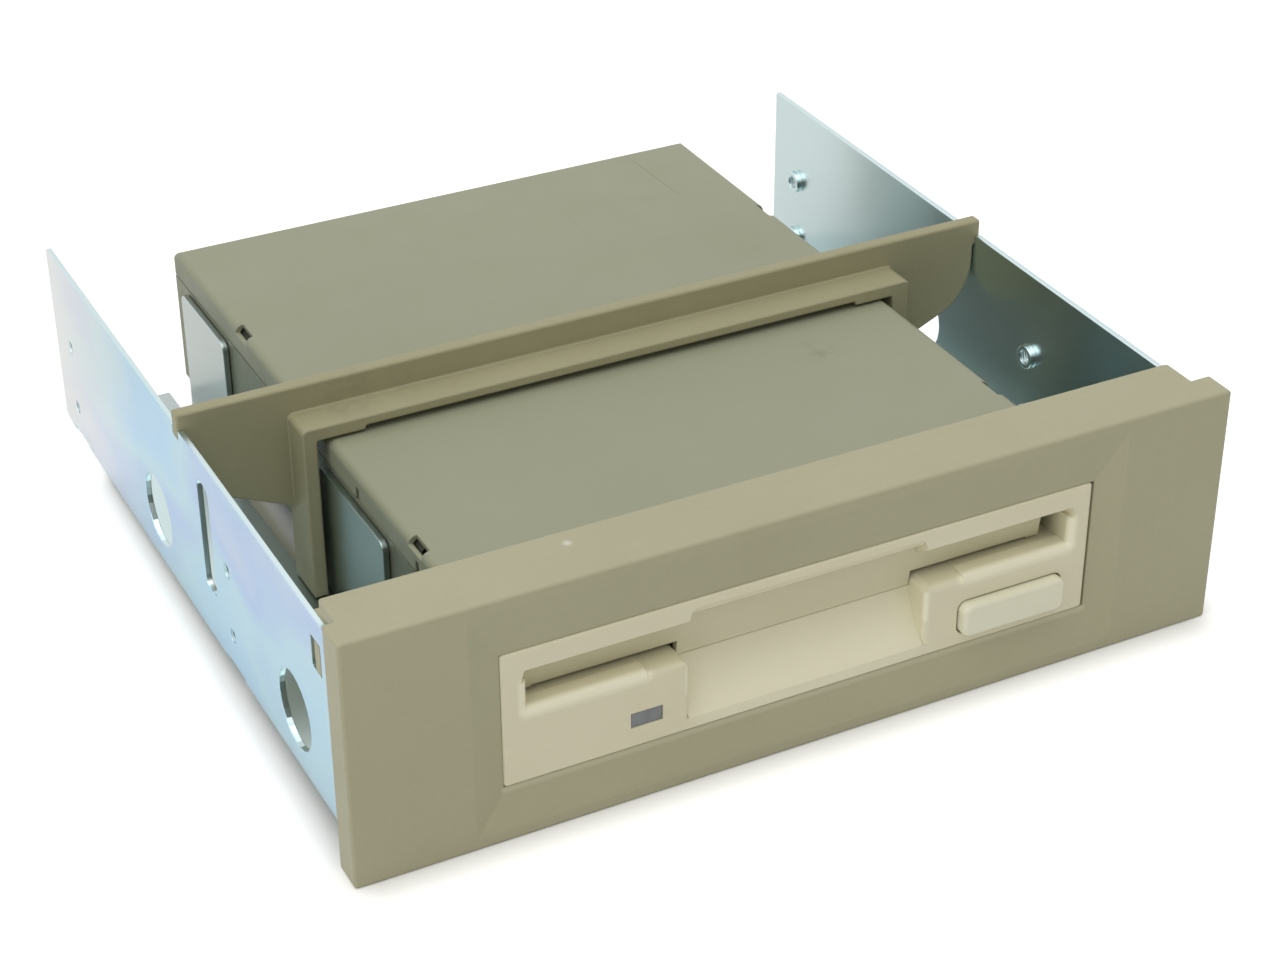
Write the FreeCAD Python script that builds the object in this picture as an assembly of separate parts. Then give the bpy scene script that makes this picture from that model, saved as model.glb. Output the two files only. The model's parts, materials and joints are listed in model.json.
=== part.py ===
import FreeCAD, Part
import math
import os

from FreeCAD import Vector

# Floppy disk drive of the 3.5 inch form, held in a kit for a half-height 5.25 inch bay.
# Millimetres. X runs across the front, Y from the front panel's face to the back,
# Z up from the front panel's lower edge. Each finished piece is moved along Y at the end,
# so that the origin lies under the middle of the depth.

# Fits that several pieces share
seat_gap = 0.2
slide_gap = 0.4
turn_gap = 0.03
tap_gap = 0.02

# Front panel of the kit
panel_w = 148.0
panel_h = 42.0
panel_t = 5.4
panel_wall = 2.2
panel_r = 0.45
panel_corner = 0.6
flange_depth = 6.2
flange_t = 1.8
flange_inset = 1.8
flange_right_inset = 3.8
flange_r = 0.6
bevel_side = 5.0
bevel_rim = 2.0
bevel_depth = 1.3
aperture_w = 100.2
aperture_h = 22.9
aperture_z = 8.8
aperture_land = 0.8
sleeve_t = 2.0
tongue_t = 2.0
tongue_spare = 2.2
hook_out = 1.2
hook_flat = 2.0

# Side brackets of zinc-plated sheet
kit_depth = 138.0
rail_inset = 1.0
rail_z = 5.0
sheet = 1.0
bend_r = 0.8
floor_edge = 3.2
ear_gap = 0.2
ear_h = 24.0
ear_front_y = 39.0
ear_front_len = 26.5
ear_rear_back = 28.5
ear_rear_len = 21.5
ear_r = 1.6
ear_screw_in = 3.3
hole_r = 1.25
hole_back = 8.75
hole_rise = 7.4
hole_pitch_y = 79.25
hole_pitch_z = 11.84
collar_r = 2.1
collar_len = 1.1
bottom_inset = 3.15
big_hole_r = 6.35
big_hole_rise = 11.2
big_hole_front_y = 23.0
big_hole_rear_y = 84.2
slot_y = 58.7
slot_w = 3.3
slot_rise = 10.4
slot_len = 19.8
clip_y = 7.6
clip_len = 3.8
clip_rise = 25.0
clip_h = 5.4
lance_len = 8.4
lance_h = 2.0
heel_cut = 2.4

# Bridge frame across the middle
bridge_y = 68.6
bridge_t = 2.4
bridge_rise = 1.8
notch_depth = 2.6
saddle_len = 6.0
saddle_wall = 2.4
saddle_side_gap = 1.9
saddle_right_gap = 1.0
saddle_top_gap = 0.45
saddle_relief = 0.7
relief_w = 89.0
wing_rise = 11.4
wing_slope = 0.44
wing_r = 10.0

# Drive outline
drive_w = 101.6
drive_h = 25.4
drive_z = 8.9
drive_len = 136.0
drive_face = 1.0
cover_t = 0.8
cover_flange = 4.5
cover_r = 1.5
cover_cut_y = 26.8
cover_cut_pitch = 73.8
cover_cut_len = 4.8
cover_cut_w = 1.5
cover_slit_y = 51.0
cover_slit_len = 1.2
cover_slit_h = 2.0

# Chassis
chassis_front = 11.0
chassis_wall = 2.5
foot_ease = 0.6
deck_rise = 5.3
deck_t = 1.5
ledge_h = 3.3
ledge_front = 30.0
rear_wall = 1.5
rear_wall_rise = 12.6
screw_rise = 5.0
screw_r = 1.5
screw_len = 4.2
head_r = 2.7
head_h = 1.9

# Drive bezel, flap, button and lamp
bezel_left_gap = 0.12
bezel_right_gap = 0.55
bezel_rim_gap = 0.12
bezel_edge_r = 0.35
bezel_corner = 0.5
bezel_front = 2.2
bezel_wall = 1.5
slot_half = 46.0
disk_rise = 12.7
disk_slot_h = 4.7
lip_depth = 1.0
lip_drop = 1.0
lip_side = 1.0
lip_r = 1.1
lip_in_r = 0.3
slot_lead = 1.9
block_half = 20.2
scoop_rise = 2.0
block_edge_r = 0.8
block_top_r = 1.2
scoop_depth = 4.9
scoop_drop = 2.4
scoop_mid_y = 2.7
scoop_mid_z = 3.3
relief_rise = 4.0
relief_half = 20.0
relief_lean = 1.0
relief_r = 1.6
relief_mid_y = 1.4
pocket_rib = 1.8
pocket_roof = 1.6
arm_way_len = 5.4
ledge_step_w = 4.4
ledge_step_d = 0.5
tongue_half = 12.0
tongue_reach = 4.6
tongue_h = 1.5
chamber_y = 4.2
chamber_h = 7.5
flap_left_gap = 0.3
flap_right_gap = 2.7
flap_t = 1.2
flap_lean = 1.1
flap_gap = 0.2
flap_low_gap = 0.5
flap_foot = 2.2
flap_barrel_r = 1.0
flap_pin_r = 0.7
hinge_y = 5.6
hinge_drop = 1.1
pin_reach = 1.1
button_x = 35.7
button_w = 18.5
button_h = 5.6
button_rise = 2.2
button_proud = 1.8
button_depth = 4.8
button_r = 1.3
button_edge_r = 0.6
button_gap = 0.3
stem_w = 6.0
stem_in = 1.2
stem_h = 3.2
lamp_inset = 6.95
lamp_w = 5.1
lamp_h = 2.5
lamp_rise = 3.5
lamp_gap = 0.06
lens_sink = 0.15
lens_len = 5.0
lens_lip = 0.8

# Disk holder, eject slider and shutter lever
holder_half = 45.3
holder_t = 0.8
holder_h = 4.4
holder_front = 15.0
holder_rear = 103.0
holder_lip = 5.6
holder_drop = 3.0
eject_travel = 5.0
finger_rear = 110.0
finger_w = 4.5
head_slot_half = 9.5
head_slot_y = 76.0
guide_pin_r = 1.0
guide_pin_reach = 1.4
guide_front_y = 28.0
guide_pitch = 60.0
ramp_gap = 0.2
slider_t = 0.8
slider_lift = 2.3
slider_front = 22.0
slider_rear = 98.0
slider_bar = 22.0
slider_rail = 17.3
arm_front = 12.2
arm_low = 3.3
tab_w = 11.0
tab_h = 4.0
spring_x = -40.0
spring_r = 0.85
spring_wire = 0.4
lug_w = 3.0
lug_h = 1.8
lug_front_y = 16.0
lug_rear_y = 46.0
lever_x = 38.0
lever_y = 64.0
lever_len = 28.0
lever_t = 0.7
lever_w = 6.0
lever_pin_r = 1.2
lever_swing = 75.0
pivot_r = 1.4
pivot_head_r = 2.6
pivot_head_h = 0.3
coil_h = 0.6
coil_wall = 0.7

# Spindle motor
spindle_y = 59.5
shaft_r = 2.0
rotor_r = 22.0
rotor_t = 1.0
rotor_skirt = 3.0
magnet_t = 2.0
hub_r = 12.4
hub_h = 2.0
drive_pin_r = 1.0
drive_pin_h = 0.9
drive_pin_orbit = 9.5
bearing_r = 4.5
bearing_flange_r = 8.0
bearing_flange_t = 1.2
stator_t = 1.6
stator_r = 18.2
pole_count = 12
pole_w = 2.4
coil_out = 0.9
motor_board_t = 1.2
motor_board_drop = 2.4
motor_board_half = 36.0
motor_board_front = 28.0
motor_board_rear = 84.0
board_corner = 3.0
post_r = 2.3
motor_post_x = 31.0
motor_post_front = 33.0
motor_post_rear = 79.0
small_screw_r = 1.0
small_screw_grip = 2.0
small_head_r = 2.0
small_head_h = 0.8

# Head carriage, its drive and the sensor
track_zero = 39.5
seek_travel = 14.8
medium_lift = 1.65
head_half = 3.0
head_t = 0.8
head_play = 0.15
carriage_rise = 3.6
carriage_h = 5.6
carriage_left = 16.0
carriage_right = 10.2
carriage_front = 1.0
carriage_len = 20.0
rod_x = 12.5
rod_rise = 6.3
rod_r = 1.5
rod_seat = 3.0
rod_front_room = 0.7
rod_rear_room = 1.0
rod_seat_half = 3.4
screw_shaft_r = 1.6
screw_entry = 1.5
motor_room = 0.5
motor_r = 6.0
motor_len = 12.0
motor_plate = 1.0
foot_reach = 13.0
foot_start = 2.2
foot_len = 9.0
foot_screw_in = 5.0
foot_screw_pitch = 5.0
tooth_gap = 0.1
tooth_len = 4.0
tooth_t = 1.2
arm_pivot_back = 22.5
arm_pivot_rise = 14.8
arm_lift = 13.5
arm_half = 4.0
arm_t = 1.0
arm_pin_r = 1.0
knuckle_left = 4.0
knuckle_right = 2.0
post_left = 8.0
post_right = 4.4
arm_coil_len = 1.1
flag_t = 0.8
nose_len = 6.0
arm_tail = 5.0
heel_len = 6.0
lamp_len = 2.4
lamp_leg_len = 3.0
coil_in = 4.4
arm_knee = 4.0
flag_reach = 7.4
flag_back = 13.0
flag_len = 4.0
well_half = 6.0
well_front = 8.0
well_rear = 3.0
arm_ear_back = 15.0
arm_ear_len = 3.0
arm_ear_reach = 2.8
bearing_bore = 12.0
sensor_len = 5.0
sensor_w = 8.0
sensor_gap = 3.0
sensor_in = 1.0

# Main board and connectors
board_t = 1.4
board_rise = 1.7
board_half = 46.0
board_front = 91.0
main_post_x = 42.0
main_post_front = 95.0
main_post_rear = 123.0
data_x = -20.5
data_w = 47.6
data_h = 8.8
data_len = 10.0
data_floor = 3.0
data_wall = 1.2
pin_pitch = 2.54
pin_side = 0.64
pin_columns = 17
power_x = 33.5
power_w = 12.6
power_h = 6.6
power_len = 9.0
power_pitch = 2.5
power_pin = 0.8
chip_h = 1.2
chip_large = 14.0
chip_long = 11.0
chip_wide = 7.2
chip_small = 5.0
chip_x = 27.0
chip_front = 8.0
chip_rear = 9.0

# Media switches
switch_x = -34.0
switch_y = 22.0
switch_w = 10.4
switch_len = 8.0
switch_h = 2.8
plunger_r = 0.9
plunger_pitch = 5.0
plunger_press = 1.0
plunger_len = 2.5

# Levels and faces that follow from the sizes above
rail_w = panel_w - 2 * rail_inset
half_rail = rail_w / 2
bottom_pitch_x = rail_w - 2 * bottom_inset
drive_rear = drive_face + drive_len
ear_rear_y = kit_depth - ear_rear_back
ear_spans = ((ear_front_y, ear_front_y + ear_front_len), (ear_rear_y, ear_rear_y + ear_rear_len))
ear_screw_ys = tuple(y0 + ear_screw_in for y0, y1 in ear_spans)
hole_ys = (kit_depth - hole_back - hole_pitch_y, kit_depth - hole_back)
lamp_x = -block_half - lamp_inset
rail_in = half_rail - sheet
rail_front = panel_t + seat_gap
rail_top = panel_h - flange_t - seat_gap
floor_top = rail_z + sheet
half_drive = drive_w / 2
ear_in = half_drive + ear_gap
ear_out = ear_in + sheet
floor_in = half_drive + floor_edge
clip_z = rail_z + clip_rise
tongue_out = rail_in - seat_gap
drive_top = drive_z + drive_h
cover_under = drive_top - cover_t
cover_low = drive_top - cover_flange
deck_under = drive_z + deck_rise
deck_top = deck_under + deck_t
wall_in = half_drive - chassis_wall
wall_top = cover_under - seat_gap
ledge_top = deck_top + ledge_h
bezel_rear = chassis_front - 0.1
bezel_left = -aperture_w / 2 + bezel_left_gap
bezel_right = aperture_w / 2 - bezel_right_gap
bezel_low = aperture_z + bezel_rim_gap
bezel_top = aperture_z + aperture_h - bezel_rim_gap
slot_low = drive_z + disk_rise
slot_top = slot_low + disk_slot_h
scoop_top = slot_low - scoop_drop
button_low = bezel_low + button_rise
chamber_low = slot_low - 0.4
hinge_z = chamber_low + chamber_h - hinge_drop - 0.6
flap_left = -slot_half + flap_left_gap
flap_right = slot_half - flap_right_gap
holder_low = slot_low + seat_gap
holder_under = holder_low + holder_h
holder_top = holder_under + holder_t
holder_out = holder_half + holder_t
slider_in = holder_out + slide_gap
slider_out = slider_in + slider_t
slider_under = holder_top + slider_lift
slider_top = slider_under + slider_t
slider_low = ledge_top + seat_gap
guide_z = (holder_low + holder_under) / 2
disk_low = holder_low - holder_drop
motor_board_top = deck_under - motor_board_drop
rotor_top = deck_top + rotor_t
hub_top = rotor_top + hub_h
head_y = spindle_y + track_zero
medium_z = disk_low + medium_lift
carriage_low = drive_z + carriage_rise
carriage_top = carriage_low + carriage_h
rod_z = drive_z + rod_rise
carriage_y = head_y - carriage_front
rod_front = carriage_y - seek_travel - rod_front_room - rod_seat
rod_rear = carriage_y + carriage_len + rod_rear_room + rod_seat
screw_front = rod_front + screw_entry
motor_face = carriage_y + carriage_len + motor_room
pivot_y = head_y + arm_pivot_back
pivot_z = drive_z + arm_pivot_rise
board_top = drive_z + board_rise + board_t
board_low = drive_z + board_rise
board_rear = drive_rear - 1.0
button_front = drive_face - button_proud
rear_most = max(kit_depth, drive_rear)
half_depth = (rear_most - min(0.0, button_front)) / 2
shift_y = half_depth - rear_most

right = Vector(1, 0, 0)
back = Vector(0, 1, 0)
up = Vector(0, 0, 1)


def box(x0, x1, y0, y1, z0, z1):
    return Part.makeBox(x1 - x0, y1 - y0, z1 - z0, Vector(x0, y0, z0))


def pole(x, y, z, axis, radius, length):
    return Part.makeCylinder(radius, length, Vector(x, y, z), axis)


def peg(x, y, z, axis, radius, length, sides=12):
    across = back if axis.isEqual(right, 1e-9) else right
    upward = axis.cross(across)
    points = []
    for index in range(sides):
        turn = math.pi * (2 * index + 1) / sides
        spoke_out = across * math.cos(turn) + upward * math.sin(turn)
        points.append(Vector(x, y, z) + spoke_out * radius)
    return sheet_of(points).extrude(axis * length)


def peg_hole(x, y, z, axis, radius, length, sides=12):
    return peg(x, y, z, axis, radius / math.cos(math.pi / sides), length, sides)


def sleeve(x, y, z, axis, inner, outer, length, sides=12):
    return peg(x, y, z, axis, outer, length, sides).cut(peg_hole(x, y, z, axis, inner, length, sides))


def eased(outline, radius, steps=4):
    points = []
    for index, (x, y) in enumerate(outline):
        before = outline[index - 1]
        after = outline[(index + 1) % len(outline)]
        run_in = math.hypot(before[0] - x, before[1] - y)
        run_out = math.hypot(after[0] - x, after[1] - y)
        ux, uy = (before[0] - x) / run_in, (before[1] - y) / run_in
        vx, vy = (after[0] - x) / run_out, (after[1] - y) / run_out
        for step in range(steps + 1):
            turn = math.pi / 2 * step / steps
            along_u = radius * (1 - math.sin(turn))
            along_v = radius * (1 - math.cos(turn))
            points.append((x + ux * along_u + vx * along_v, y + uy * along_u + vy * along_v))
    return points


def rounded(x0, x1, z0, z1, radius, steps=4):
    return eased([(x0, z0), (x1, z0), (x1, z1), (x0, z1)], radius, steps)


def cushion(x0, x1, z0, z1, y0, y1, corner, edge, steps=3):
    rings = []
    for step in range(steps + 1):
        turn = math.pi / 2 * step / steps
        inset = edge * (1 - math.sin(turn))
        depth = edge * (1 - math.cos(turn))
        outline = rounded(x0 + inset, x1 - inset, z0 + inset, z1 - inset, corner - inset)
        ring = [Vector(x, y0 + depth, z) for x, z in outline]
        rings.append(Part.makePolygon(ring + ring[:1]))
    front = Part.makeLoft(rings, True, True)
    return joined(front, along_y(rounded(x0, x1, z0, z1, corner), y0 + edge, y1))


def corner_of(x, y, dx, dy, radius, steps=4):
    points = [(x, y)]
    for step in range(steps + 1):
        turn = math.pi / 2 * step / steps
        points.append((x + dx * radius * (1 - math.cos(turn)), y + dy * radius * (1 - math.sin(turn))))
    return points


def chamfered(x0, x1, z0, z1, cut):
    return [(x0 + cut, z0), (x1 - cut, z0), (x1, z0 + cut), (x1, z1 - cut), (x1 - cut, z1),
            (x0 + cut, z1), (x0, z1 - cut), (x0, z0 + cut)]


def board(half, y0, y1, z0, z1):
    return along_z(chamfered(-half, half, y0, y1, board_corner), z0, z1)


def sheet_of(points):
    return Part.Face(Part.makePolygon(points + points[:1]))


def along_x(outline, x0, x1):
    return sheet_of([Vector(x0, y, z) for y, z in outline]).extrude(Vector(x1 - x0, 0, 0))


def along_y(outline, y0, y1):
    return sheet_of([Vector(x, y0, z) for x, z in outline]).extrude(Vector(0, y1 - y0, 0))


def along_z(outline, z0, z1):
    return sheet_of([Vector(x, y, z0) for x, y in outline]).extrude(Vector(0, 0, z1 - z0))


def joined(first, *others):
    return first.fuse(list(others)).removeSplitter()


def less(first, *others):
    return first.cut(list(others))


def flipped(shape):
    return shape.mirror(Vector(0, 0, 0), right)


def both(shape):
    return [shape, flipped(shape)]


def runs(edge, axis):
    ends = edge.Vertexes
    if len(ends) < 2:
        return False
    step = ends[1].Point.sub(ends[0].Point)
    return step.Length > 1e-6 and step.cross(axis).Length < 1e-6 * step.Length


def soften(shape, radius, pick):
    chosen = [edge for edge in shape.Edges if pick(edge.CenterOfMass, edge)]
    return shape.makeFillet(radius, chosen) if chosen else shape


def near(a, b):
    return abs(a - b) < 1e-4


def slot_x(y0, z0, y1, z1, radius, x0, x1, steps=6):
    heading = math.atan2(z1 - z0, y1 - y0)
    outline = []
    for y, z, start in ((y1, z1, heading - math.pi / 2), (y0, z0, heading + math.pi / 2)):
        for step in range(steps + 1):
            turn = start + math.pi * step / steps
            outline.append((y + radius * math.cos(turn), z + radius * math.sin(turn)))
    return along_x(outline, x0, x1)


def bevelled(shape, size, pick):
    return shape.makeChamfer(size, [edge for edge in shape.Edges if pick(edge.CenterOfMass, edge)])


# Front panel: a shell with a bevelled way in, a top flange and two snap tongues
def make_front_panel():
    half = panel_w / 2
    plate = cushion(-half, half, 0, panel_h, 0, panel_t, panel_corner, panel_r)
    bevel_x = aperture_w / 2 + bevel_side
    hollow = box(
        -half + panel_wall, half - panel_wall,
        panel_wall, panel_t + 1,
        panel_wall, panel_h - panel_wall,
    )
    backing = box(-bevel_x, bevel_x, 0, bevel_depth + panel_wall, 0, panel_h)
    surround = box(
        -aperture_w / 2 - sleeve_t, aperture_w / 2 + sleeve_t,
        0, panel_t,
        aperture_z - sleeve_t, aperture_z + aperture_h + sleeve_t,
    )
    body = less(plate, less(hollow, backing, surround))
    wide = [(-bevel_x, bevel_rim), (bevel_x, bevel_rim),
            (bevel_x, panel_h - bevel_rim), (-bevel_x, panel_h - bevel_rim)]
    edge = aperture_w / 2
    high = aperture_z + aperture_h
    land = aperture_z - aperture_land
    tight = [(-edge, land), (edge, land), (edge, high), (-edge, high)]
    rings = []
    for outline, y in ((wide, 0.0), (tight, bevel_depth)):
        points = [Vector(x, y, z) for x, z in outline]
        rings.append(Part.makePolygon(points + points[:1]))
    bevel = Part.makeLoft(rings, True, True)
    way = box(-edge, edge, -1, panel_t + 1, aperture_z, high)
    body = less(body, bevel, way)
    flange = rounded(-half + flange_inset, half - flange_right_inset, panel_r, panel_t + flange_depth,
                     flange_r)
    flange = along_z(flange, panel_h - flange_t, panel_h)
    tongue = box(tongue_out - tongue_t, tongue_out, panel_wall - 0.5, clip_y + clip_len + tongue_spare,
                 clip_z - tongue_spare, clip_z + clip_h + tongue_spare)
    catch = clip_y + seat_gap
    hook_tip = tongue_out + hook_out
    hook = along_z(
        [(tongue_out - 0.5, catch), (hook_tip, catch), (hook_tip, catch + hook_flat),
         (tongue_out - 0.5, clip_y + clip_len - seat_gap)],
        clip_z + seat_gap, clip_z + clip_h - seat_gap,
    )
    return joined(body, flange, *both(tongue), *both(hook))


# Side bracket: rail, floor strip and two ears bent from one sheet. Only the left rail has the long slot
def make_bracket(slotted):
    ear_top = rail_z + ear_h
    outer = rounded(-half_rail, -ear_in, rail_z, 2 * rail_top, bend_r + sheet, 3)
    inner = rounded(-rail_in, -ear_out, floor_top, 3 * rail_top, bend_r, 3)
    body = less(along_y(outer, rail_front, kit_depth), along_y(inner, rail_front - 1, kit_depth + 1))
    body = less(body, box(-panel_w, -rail_in + 1, 0, 2 * kit_depth, rail_top, 4 * rail_top),
                box(-rail_in, 0, 0, 2 * kit_depth, ear_top, 4 * rail_top))
    gaps = [(rail_front - 1, ear_spans[0][0]), (ear_spans[0][1], ear_spans[1][0]),
            (ear_spans[1][1], kit_depth + 1)]
    for y0, y1 in gaps:
        body = body.cut(box(-floor_in, 0, y0, y1, rail_z - 1, ear_top + 1))
    side = []
    for y0, y1 in ear_spans:
        for y, inward in ((y0, 1), (y1, -1)):
            side.append(along_x(corner_of(y, ear_top, inward, -1, ear_r), -ear_out - 0.5, -ear_in + 0.5))
    rows = (rail_z + hole_rise, rail_z + hole_rise + hole_pitch_z)
    collars = []
    for y in hole_ys:
        for z in rows:
            collars.append(peg(-rail_in - 0.2, y, z, right, collar_r, collar_len + 0.2))
    body = joined(body, *collars)
    for y in hole_ys:
        side.append(box(-half_rail - 1, -rail_in + seat_gap, y - lance_len / 2, y + lance_len / 2,
                        rail_z - 1, rail_z + lance_h))
        side.append(pole(-bottom_pitch_x / 2, y, rail_z - 1, up, hole_r, sheet + 2))
        for z in rows:
            side.append(pole(-half_rail - 1, y, z, right, hole_r, sheet + collar_len + 2))
    for y in (big_hole_front_y, big_hole_rear_y):
        side.append(peg_hole(-half_rail - 1, y, rail_z + big_hole_rise, right, big_hole_r, sheet + 2, 28))
    low = rail_z + slot_rise + slot_w / 2
    if slotted:
        side.append(slot_x(slot_y, low, slot_y, low + slot_len - slot_w, slot_w / 2,
                           -half_rail - 1, -rail_in + 1))
    side.append(box(-half_rail - 1, -rail_in + 1, clip_y, clip_y + clip_len, clip_z, clip_z + clip_h))
    side.append(box(-half_rail - 1, -rail_in + 1, bridge_y - seat_gap, bridge_y + bridge_t + seat_gap,
                    rail_top - notch_depth, rail_top + 1))
    heel = [(kit_depth - heel_cut, rail_z), (kit_depth, rail_z), (kit_depth, rail_z + heel_cut)]
    side.append(along_x(heel, -half_rail - 1, -rail_in + 1))
    for y in ear_screw_ys:
        side.append(peg_hole(-ear_out - 1, y, drive_z + screw_rise, right, screw_r + seat_gap, sheet + 2, 8))
    return less(body, *side)


# Bridge frame: a plate hung in the rails' notches, with a saddle round the drive
def make_bridge_frame():
    top = rail_top + bridge_rise
    notch_low = rail_top - notch_depth
    open_x = half_drive + saddle_side_gap
    saddle_x = open_x + saddle_wall
    open_top = drive_top + saddle_top_gap
    saddle_top = open_top + saddle_wall
    wing_x = rail_in - seat_gap
    wing_in = drive_z + wing_rise
    wing_out = wing_in + (wing_x - saddle_x) * wing_slope
    half = [(half_rail, top), (half_rail, notch_low), (wing_x, notch_low), (wing_x, wing_out),
            (saddle_x, wing_in)]
    outline = half + [(-x, z) for x, z in reversed(half)]
    rear = bridge_y + bridge_t
    plate = along_y(outline, bridge_y, rear)
    wing_corner = math.pi / 2 + math.atan(wing_slope)
    wing_round = min(wing_r, (notch_low - wing_out - seat_gap) * math.tan(wing_corner / 2))
    plate = soften(plate, wing_round, lambda c, e: runs(e, back) and near(c.z, wing_out))
    saddle = along_y(rounded(-saddle_x, saddle_x, 0, saddle_top, 1.0), bridge_y - saddle_len, rear)
    saddle = saddle.common(box(-saddle_x, saddle_x, 0, drive_rear, floor_top + seat_gap, saddle_top))
    way = box(-open_x, half_drive + saddle_right_gap, 0, drive_rear, 0, open_top)
    ear_way = box(0, open_x, 0, drive_rear, 0, rail_z + ear_h + ear_gap)
    relief = box(-relief_w / 2, relief_w / 2, 0, drive_rear, open_top - 1, open_top + saddle_relief)
    body = less(joined(plate, saddle), way, ear_way, relief)
    return soften(body, 0.5, lambda c, e: near(c.z, top) and runs(e, right))


# Screws that hold the ears to the drive
def make_ear_screws():
    screws = []
    for y in ear_screw_ys:
        z = drive_z + screw_rise
        head = peg(-ear_out - head_h, y, z, right, head_r, head_h, 10)
        shank = peg(-ear_out, y, z, right, screw_r, sheet + ear_gap + screw_len - 1, 8)
        screws += both(joined(head, shank))
    return Part.makeCompound(screws)


def tap(x, y, low):
    return peg_hole(x, y, low - 1, up, small_screw_r + tap_gap, small_screw_grip + 1.4, 8)


# Chassis of the drive: side walls, deck, slider ledges, posts and a rear wall
def make_drive_chassis():
    inner = half_drive - cover_t - 0.1
    step = cover_low - 0.2
    ease = cover_r - cover_t
    half = [(half_drive - foot_ease, drive_z), (half_drive, drive_z + foot_ease), (half_drive, step),
            (inner, step), (inner, wall_top - ease), (inner - ease, wall_top), (wall_in, wall_top),
            (wall_in, deck_top), (0, deck_top), (0, deck_under), (wall_in, deck_under), (wall_in, drive_z)]
    side = along_y(half, chassis_front, drive_rear)
    ledge = box(holder_out + 0.3, wall_in + 0.2, ledge_front, drive_rear - rear_wall,
                deck_top - 0.2, ledge_top)
    lug = box(-wall_in - 0.2, spring_x + lug_w / 2, lug_front_y, lug_front_y + 1.2,
              slider_top + 0.3, wall_top)
    rear = box(-wall_in - 0.2, wall_in + 0.2, drive_rear - rear_wall - cover_t - seat_gap,
               drive_rear - cover_t - seat_gap, drive_z + rear_wall_rise, wall_top - 0.4)
    posts = []
    for x in (-motor_post_x, motor_post_x):
        for y in (motor_post_front, motor_post_rear):
            posts.append(peg(x, y, motor_board_top, up, post_r, deck_under - motor_board_top + 0.2, 8))
    for x in (-main_post_x, main_post_x):
        for y in (main_post_front, main_post_rear):
            posts.append(peg(x, y, board_top, up, post_r, deck_under - board_top + 0.2, 8))
    seats = []
    for y in (rod_front, rod_rear - rod_seat):
        seats.append(box(-rod_x - rod_seat_half, -rod_x + rod_seat_half, y, y + rod_seat,
                         deck_under, rod_z + rod_r + 1.4))
    slot_front = rod_front + rod_seat + 0.2
    slot_back = rod_rear - rod_seat - 0.2
    cuts = [
        peg_hole(0, spindle_y, deck_under - 1, up, rotor_r + 1.4, deck_t + 2, 32),
        box(-carriage_left - 1.4, rod_x + motor_r + 1.8, slot_front, slot_back, deck_under - 1, deck_top + 1),
        box(-rod_x + rod_seat_half + 0.2, rod_x + motor_r + 1.8, slot_back - 1, drive_rear - data_len - 1,
            deck_under - 1, deck_top + 1),
        box(rod_x - motor_r - 0.8, rod_x + motor_r + 0.8, slot_back - 1, motor_face + motor_len + 3,
            deck_under - 1, deck_top + 1),
        box(data_x - data_w / 2 - 0.6, data_x + data_w / 2 + 0.6, drive_rear - data_len - 1, drive_rear + 1,
            deck_under - 1, deck_top + 1),
        box(power_x - power_w / 2 - 0.6, power_x + power_w / 2 + 0.6, drive_rear - power_len - 1,
            drive_rear + 1, deck_under - 1, deck_top + 1),
        box(button_x - button_w / 2 - 2, wall_in, chassis_front - 1, slider_front + 3,
            deck_under - 1, deck_top + 1),
        peg_hole(-rod_x, rod_front - 1, rod_z, back, rod_r + tap_gap, rod_rear - rod_front + 2),
        box(0, rod_x + screw_shaft_r + 1.4, rod_front + 0.4, slot_front + 1,
            deck_under - 1, deck_top + 1),
        box(-half_drive - 1, half_drive + 1, drive_rear - cover_t - seat_gap, drive_rear + 1,
            step, drive_top),
        box(-half_drive - 1, half_drive + 1, drive_rear - cover_r - seat_gap, drive_rear + 1,
            wall_top - ease, drive_top),
    ]
    for y in (guide_front_y, guide_front_y + guide_pitch):
        groove = box(wall_in - 1, holder_out + guide_pin_reach + 2.2, y - guide_pin_r - 0.15,
                     y + guide_pin_r + 0.15, guide_z - holder_drop - guide_pin_r - 0.3, drive_top)
        cuts += both(groove)
    for y in ear_screw_ys:
        hole = peg_hole(-half_drive - 1, y, drive_z + screw_rise, right, screw_r + tap_gap,
                        chassis_wall + 2, 8)
        cuts += both(hole)
    for x in (-motor_post_x, motor_post_x):
        for y in (motor_post_front, motor_post_rear):
            cuts.append(tap(x, y, motor_board_top))
    for x in (-main_post_x, main_post_x):
        for y in (main_post_front, main_post_rear):
            cuts.append(tap(x, y, board_top))
    body = joined(side, flipped(side), *both(ledge), lug, rear, *posts, *seats)
    return less(body, *cuts, *stepper_screw_poles(tap_gap))


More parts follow.
